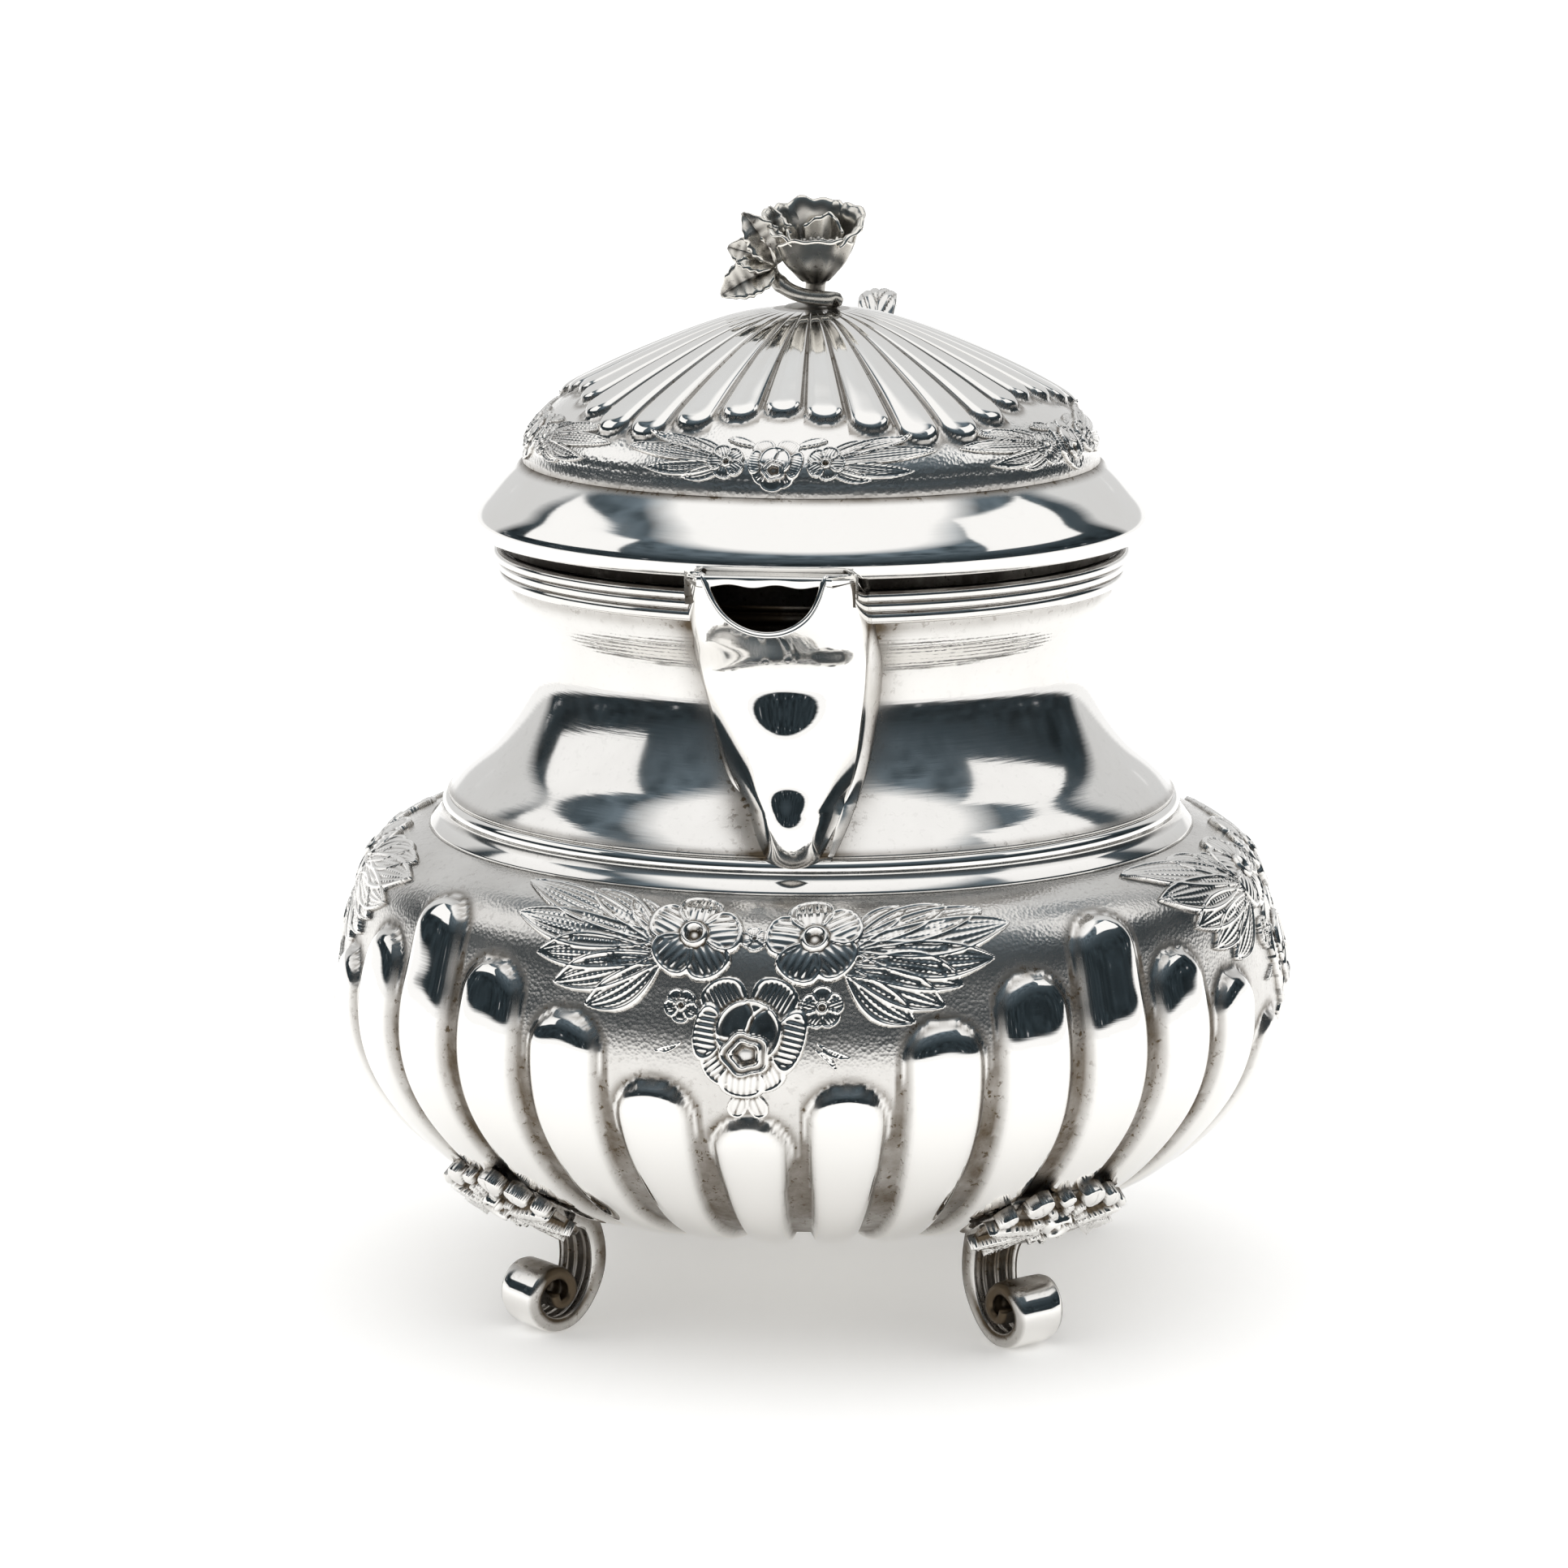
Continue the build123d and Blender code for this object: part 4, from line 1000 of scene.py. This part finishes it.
def curled_leaf(base, tip, wide, droop, seed):
    """Toothed leaf from base to tip, its middle line sunk and its sides curling."""
    local = np.random.default_rng(seed)
    base, tip = np.array(base, float), np.array(tip, float)
    t = np.linspace(0, 1, 33)[:, None]
    a = np.linspace(-1, 1, 17)[None, :]
    teeth = 1 + 0.14 * (1 - np.abs(((t * 7) % 1) * 2 - 1))
    half = wide * np.sin(np.pi * np.clip(t, 0.02, 0.98) ** 0.8) ** 0.75 * teeth
    go = tip - base
    side = np.cross(go, (0, -1, 0.4))
    side /= np.linalg.norm(side)
    up = np.cross(side, go) / np.linalg.norm(go)
    ruffle = 0.25 * np.sin(t * 16 + local.uniform(0, 6)) * np.abs(a)
    lift = 0.5 * np.abs(a) * half + droop * 4 * t * (1 - t) + ruffle
    points = base + t[..., None] * go + (a * half)[..., None] * side + (lift + 0 * a)[..., None] * up
    dark = 0.75 - 0.65 * np.abs(a) + 0.25 * np.cos(t * 40) * (1 - np.abs(a))
    return sheet(points, 0.6, np.clip(dark, 0, 1))


def stamen(k):
    """Thin stalk with a round head, the k-th on a spiral out from the rose's middle."""
    turn, reach = 2.4 * k, 0.62 * math.sqrt(k)
    foot = ROSE_BASE + (reach * math.cos(turn), reach * math.sin(turn), 1.5)
    head = foot + (0.5 * math.cos(turn), 0.5 * math.sin(turn), 5.0 - 0.25 * reach)
    sizes = np.array([0.3, 0.3, 0.3, 0.3, 0.5, 0.3])
    return bar(np.linspace(foot, head, len(sizes)), (0, 1, 0), sizes[:, None], round_section(14), 0.5)


def make_finial():
    rose = [rose_petal(8, 62, 8.6, 1.9, 6.6, 0.25, 1, 0.1)]
    rose += [rose_petal(*shape) for shape in OUTER_PETALS + INNER_PETALS]
    rose += [stamen(k) for k in range(STAMENS)]
    piece("finial_rose_petals", rose, oxidised, "lid", "oxidised_silver", "finial_rose")

    ball = round_section(20)
    run = np.linspace(0, 1, 80)
    stalk = 1.15 + 0.18 * bell(run, 0.62, 0.04) - 0.35 * smooth(0.8, 1, run)
    run = np.linspace(0, 1, 30)
    neck = 1.5 + 1.6 * bell(run, 0, 0.18) + 0.7 * smooth(0.7, 1, run)
    collar = np.array([4.2, 4.5, 4.4, 3.8, 2.4])
    parts = [
        bar(spline(STALK, 80), (0, 1, 0), stalk[:, None], ball, 0.45),
        bar(spline(ROSE_NECK, 30), (0, 1, 0), neck[:, None], ball, 0.55),
        bar(np.linspace((0, 0.2, 150.9), (0, 0.2, 152.2), 5), (0, 1, 0), collar[:, None], ball, 0.6),
    ]
    piece("finial_stem_looped", parts, oxidised, "lid", "oxidised_silver", "finial_stem")

    leaves = [curled_leaf(*shape) for shape in FINIAL_LEAVES]
    piece("finial_leaves_toothed", leaves, oxidised, "lid", "oxidised_silver", "finial_leaves")


# ---- handle ----
HANDLE_ROUTE = [
    (59.7, 105.7), (72.0, 107.9), (80.0, 117.5), (83.5, 130.5), (93.5, 137.2), (104.8, 131.5), (110.1, 116.0),
    (110.1, 95.0), (107.4, 74.0), (102.6, 56.0), (95.0, 45.0), (87.5, 45.0),
]
THUMB_LEAF = [(83.2, 135.6), (86.6, 140.4), (89.8, 143.2), (95.2, 142.4), (100.5, 137.2)]
HANDLE_POINTS, HANDLE_RIDGES, HANDLE_MOST = 300, 8, 3.7  # HANDLE_MOST is its largest half width
SOCKETS = (("upper", 42.0, 102.6, 10.0, 15.0), ("lower", 72.5, 45.0, 0.0, 12.0))  # root (y, z), slope, length
# (place along a socket from 0 to 1, radius)
SOCKET_STEPS = [
    (0.0, 6.9), (0.06, 6.9), (0.1, 6.1), (0.16, 6.1), (0.3, 5.2), (0.6, 4.5),
    (0.78, 4.3), (0.8, 4.9), (0.88, 4.9), (0.9, 4.3), (0.93, 4.6), (1.0, 4.6),
]
INSULATOR_LONG = 3  # mm


def upright(y, z):
    """Route in the pot's middle plane."""
    return np.column_stack([0 * y, y, z])


def make_handle():
    route = upright(*spline(HANDLE_ROUTE, HANDLE_POINTS).T)
    run = np.linspace(0, 1, HANDLE_POINTS)
    swell = 3.3 - 0.5 * smooth(0.2, 0.4, run) + 0.55 * bell(run, 0.62, 0.13)
    ends = 0.7 * (bell(run, 0, 0.02) + bell(run, 1, 0.02))
    knots = sum(bell(run, k, 0.012) for k in (0.20, 0.44, 0.80))
    size = np.minimum(swell + ends + 0.75 * knots, HANDLE_MOST)
    count = 48
    ridges = np.cos(HANDLE_RIDGES * full_turn(count))
    section = round_section(count, 2.3) * (1 + 0.045 * ridges[:, None]) / 1.045
    dark = 0.06 + 0.22 * (1 - ridges) * smooth(0.18, 0.3, run)[:, None] + 0.16 * knots[:, None]
    scroll = bar(route, (1, 0, 0), size[:, None], section, dark)
    piece("handle_scroll", [scroll], polished, "pot", "polished_silver", "handle")


def make_thumb_leaf():
    t = np.linspace(0, 1, 60)[:, None]
    b = np.linspace(-1, 1, 31)[None, :]
    ridge = spline(THUMB_LEAF, 60)
    half = 3.0 * np.sin(np.pi * np.clip(t, 0.03, 0.97) ** 0.75) ** 0.6
    veins = 0.16 * np.cos(2 * np.pi * (2.2 * np.abs(b) - 5 * t)) * (1 - np.abs(b) ** 4)
    crown = 0.9 * (1 - b**2) + veins - 0.45 * bell(b, 0, 0.1)
    points = np.stack([b * half, ridge[:, :1] + 0 * b, ridge[:, 1:] + crown - 0.5], axis=-1)
    leaf = sheet(points, 1.5, 0.12 + 0.5 * (veins < -0.05) + 0.3 * bell(b, 0, 0.08) + 0 * t)
    piece("thumb_leaf_veined", [leaf], polished, "pot", "polished_silver", "thumb_leaf")


def make_socket(name, y, z, slope, length):
    """Stepped socket that holds an end of the handle, and the bone disc between the two."""
    c, s = math.cos(math.radians(slope)), math.sin(math.radians(slope))
    run = np.linspace(0, 1, 90)
    size = np.interp(run, *np.transpose(SOCKET_STEPS))
    grooves = 0.1 + 0.5 * bell(run, 0.1, 0.03) + 0.5 * bell(run, 0.78, 0.02)
    route = upright(y + c * length * run, z + s * length * run)
    socket = bar(route, (1, 0, 0), size[:, None], round_section(48), grooves[:, None])
    cad_node = f"handle_{name}_socket"
    piece(f"{cad_node}_turned", [socket], polished, "pot", "polished_silver", cad_node)
    run = np.linspace(0, 1, 25)
    size = 5.0 + 0.2 * np.sqrt(np.clip(1 - (2 * run - 1) ** 2, 0, 1))
    along = length + INSULATOR_LONG * run
    disc = bar(upright(y + c * along, z + s * along), (1, 0, 0), size[:, None], round_section(48))
    piece(f"insulator_{name}_disc", [disc], bone, "pot", "bone", f"insulator_{name}")


make_bowl()
make_dome()
make_neck()
make_mouldings()
make_spout()
for place, degrees in (("front_right", -45), ("back_right", 45), ("back_left", 135), ("front_left", -135)):
    make_foot(f"foot_{place}", degrees)
make_finial()
make_handle()
make_thumb_leaf()
for socket in SOCKETS:
    make_socket(*socket)

# ---- what the frame's own shapes take ----
SLOT_MATERIAL = {
    "polished_silver": polished,
    "satin_silver": neck_silver,
    "oxidised_silver": oxidised,
    "bone": bone,
}
for part in frame["record"]["subparts"]:
    obj = frame["nodes"][part["node"]]
    for slot in obj.material_slots:
        slot.material = SLOT_MATERIAL[part["material_slot"]]

# ---- studio ----
CAMERA_AWAY, CAMERA_UP, CAMERA_PITCH = 900.0, 251.1, 10.895  # mm, mm and degrees
POT_TURN = 7.1  # degrees that the pot is turned on its feet
AIM_LEFT = 0.266  # degrees: the pot stands a little right of the middle
LENS, SENSOR = 136.6, 36.0  # mm


def make_camera():
    data = bpy.data.cameras.new("camera")
    data.lens = LENS
    data.sensor_width = SENSOR
    data.clip_start = 0.01
    camera = bpy.data.objects.new("camera", data)
    turn = math.radians(POT_TURN)
    camera.location = at(CAMERA_AWAY * math.sin(turn), -CAMERA_AWAY * math.cos(turn), CAMERA_UP).tolist()
    camera.rotation_euler = Euler((math.radians(90 - CAMERA_PITCH), 0, turn + math.radians(AIM_LEFT)))
    bpy.context.scene.collection.objects.link(camera)
    bpy.context.scene.camera = camera


FLOOR_REACH, FLOOR_DROP = 20000.0, 0.02  # mm


def make_floor():
    """Pale table, lit a little from within so that it stays nearly white round the pot's shadow."""
    matt = {"Base Color": (0.97, 0.97, 0.965, 1), "Roughness": 0.6, "Specular IOR Level": 0.0}
    glow = {"Emission Color": (1.0, 0.985, 0.95, 1), "Emission Strength": 0.15}
    material, *_ = new_material("floor", matt | glow)
    x = FLOOR_REACH * np.array([-1, 1, 1, -1])
    y = FLOOR_REACH * np.array([-1, -1, 1, 1])
    floor = new_mesh("floor", at(x, y, -FLOOR_DROP), [[0, 1, 2, 3]], material)


# corners in degrees round from the camera's side and up from level
SOFTBOX_LEFT = [(-119, 18), (-73, 30), (-90, 54), (-134, 41)]
SOFTBOX_RIGHT = [(71, 39), (120, 29), (129, 47), (93, 62)]


ROOM_FROM, ROOM_TO = 4.0, 56.0  # degrees up, from the table's edge to the overhead light
BACK_FROM, BACK_LIGHT = 130.0, 0.66  # degrees round where the room gets light again, and how light
SHELF_FROM, SHELF_TO = 6.0, 14.0  # degrees up, of the small bright things in the room
ROOM_LOW, ROOM_HIGH = (0.010, 0.015, 0.018, 1), (0.17, 0.22, 0.26, 1)
ROOM_PATCHES, ROOM_THINGS = (0.035, 0.050, 0.060, 1), (0.42, 0.42, 0.43, 1)
LIGHT, WHITE, BACKDROP = 1.08, (1.0, 1.0, 1.0, 1), (1.06, 1.06, 1.06, 1)


def make_world():
    """White studio: overhead light, pale table, dark room above the table's edge, and a tall softbox on each
    side. Only mirrors show them: the camera itself sees plain white."""
    world = bpy.data.worlds.new("studio")
    bpy.context.scene.world = world
    world.use_nodes = True
    tree = world.node_tree

    def times(a, b):
        return maths(tree, "MULTIPLY", a, b)

    def less(a, b):
        return maths(tree, "SUBTRACT", a, b)

    def over(value, edge, soft):
        """Goes from 0 to 1 as the value passes the edge."""
        return maths(tree, "DIVIDE", less(value, edge), soft, clamp=True)

    way = node(tree, "ShaderNodeTexCoord").outputs["Generated"]
    turned = {"Vector": way, "Angle": -math.radians(POT_TURN)}
    turned = node(tree, "ShaderNodeVectorRotate", turned, rotation_type="Z_AXIS").outputs[0]
    x, y, z = node(tree, "ShaderNodeSeparateXYZ", {"Vector": turned}).outputs
    up = times(maths(tree, "ARCSINE", z), 180 / math.pi)
    away = times(maths(tree, "ARCTAN2", x, times(y, -1.0)), 180 / math.pi)

    def panel(corners):
        """1 inside a four-cornered light, its corners given in degrees (round, up) anticlockwise."""
        inside = 1.0
        for (x0, y0), (x1, y1) in zip(corners, corners[1:] + corners[:1]):
            length = math.hypot(x1 - x0, y1 - y0)
            rise = times(less(up, y0), (x1 - x0) / length)
            fall = times(less(away, x0), (y1 - y0) / length)
            inside = times(inside, over(less(rise, fall), 0.0, 1.2))
        return inside

    room = times(over(up, ROOM_FROM, 2.0), less(1.0, over(up, ROOM_TO, 8.0)))
    behind = times(over(maths(tree, "ABSOLUTE", away), BACK_FROM, 6.0), BACK_LIGHT)
    room = times(room, less(1.0, behind))
    lit = maths(tree, "MAXIMUM", panel(SOFTBOX_LEFT), panel(SOFTBOX_RIGHT))
    clutter = noise(tree, way, 9.0, 3.0)
    shelf = times(over(up, SHELF_FROM, 1.0), less(1.0, over(up, SHELF_TO, 2.0)))
    things = times(shelf, over(clutter, 0.66, 0.03))
    walls = mixed(tree, over(up, 22.0, 38.0), ROOM_LOW, ROOM_HIGH)
    walls = mixed(tree, over(clutter, 0.35, 0.4), walls, ROOM_PATCHES)
    walls = mixed(tree, things, walls, ROOM_THINGS)
    mirrored = mixed(tree, times(room, less(1.0, lit)), WHITE, walls)
    glossy_ray = node(tree, "ShaderNodeLightPath").outputs["Is Glossy Ray"]
    background = tree.nodes["Background"]
    feed(tree, background.inputs["Color"], mixed(tree, glossy_ray, BACKDROP, mirrored))
    background.inputs["Strength"].default_value = LIGHT


make_camera()
make_floor()
make_world()
bpy.context.scene.view_settings.view_transform = "Standard"
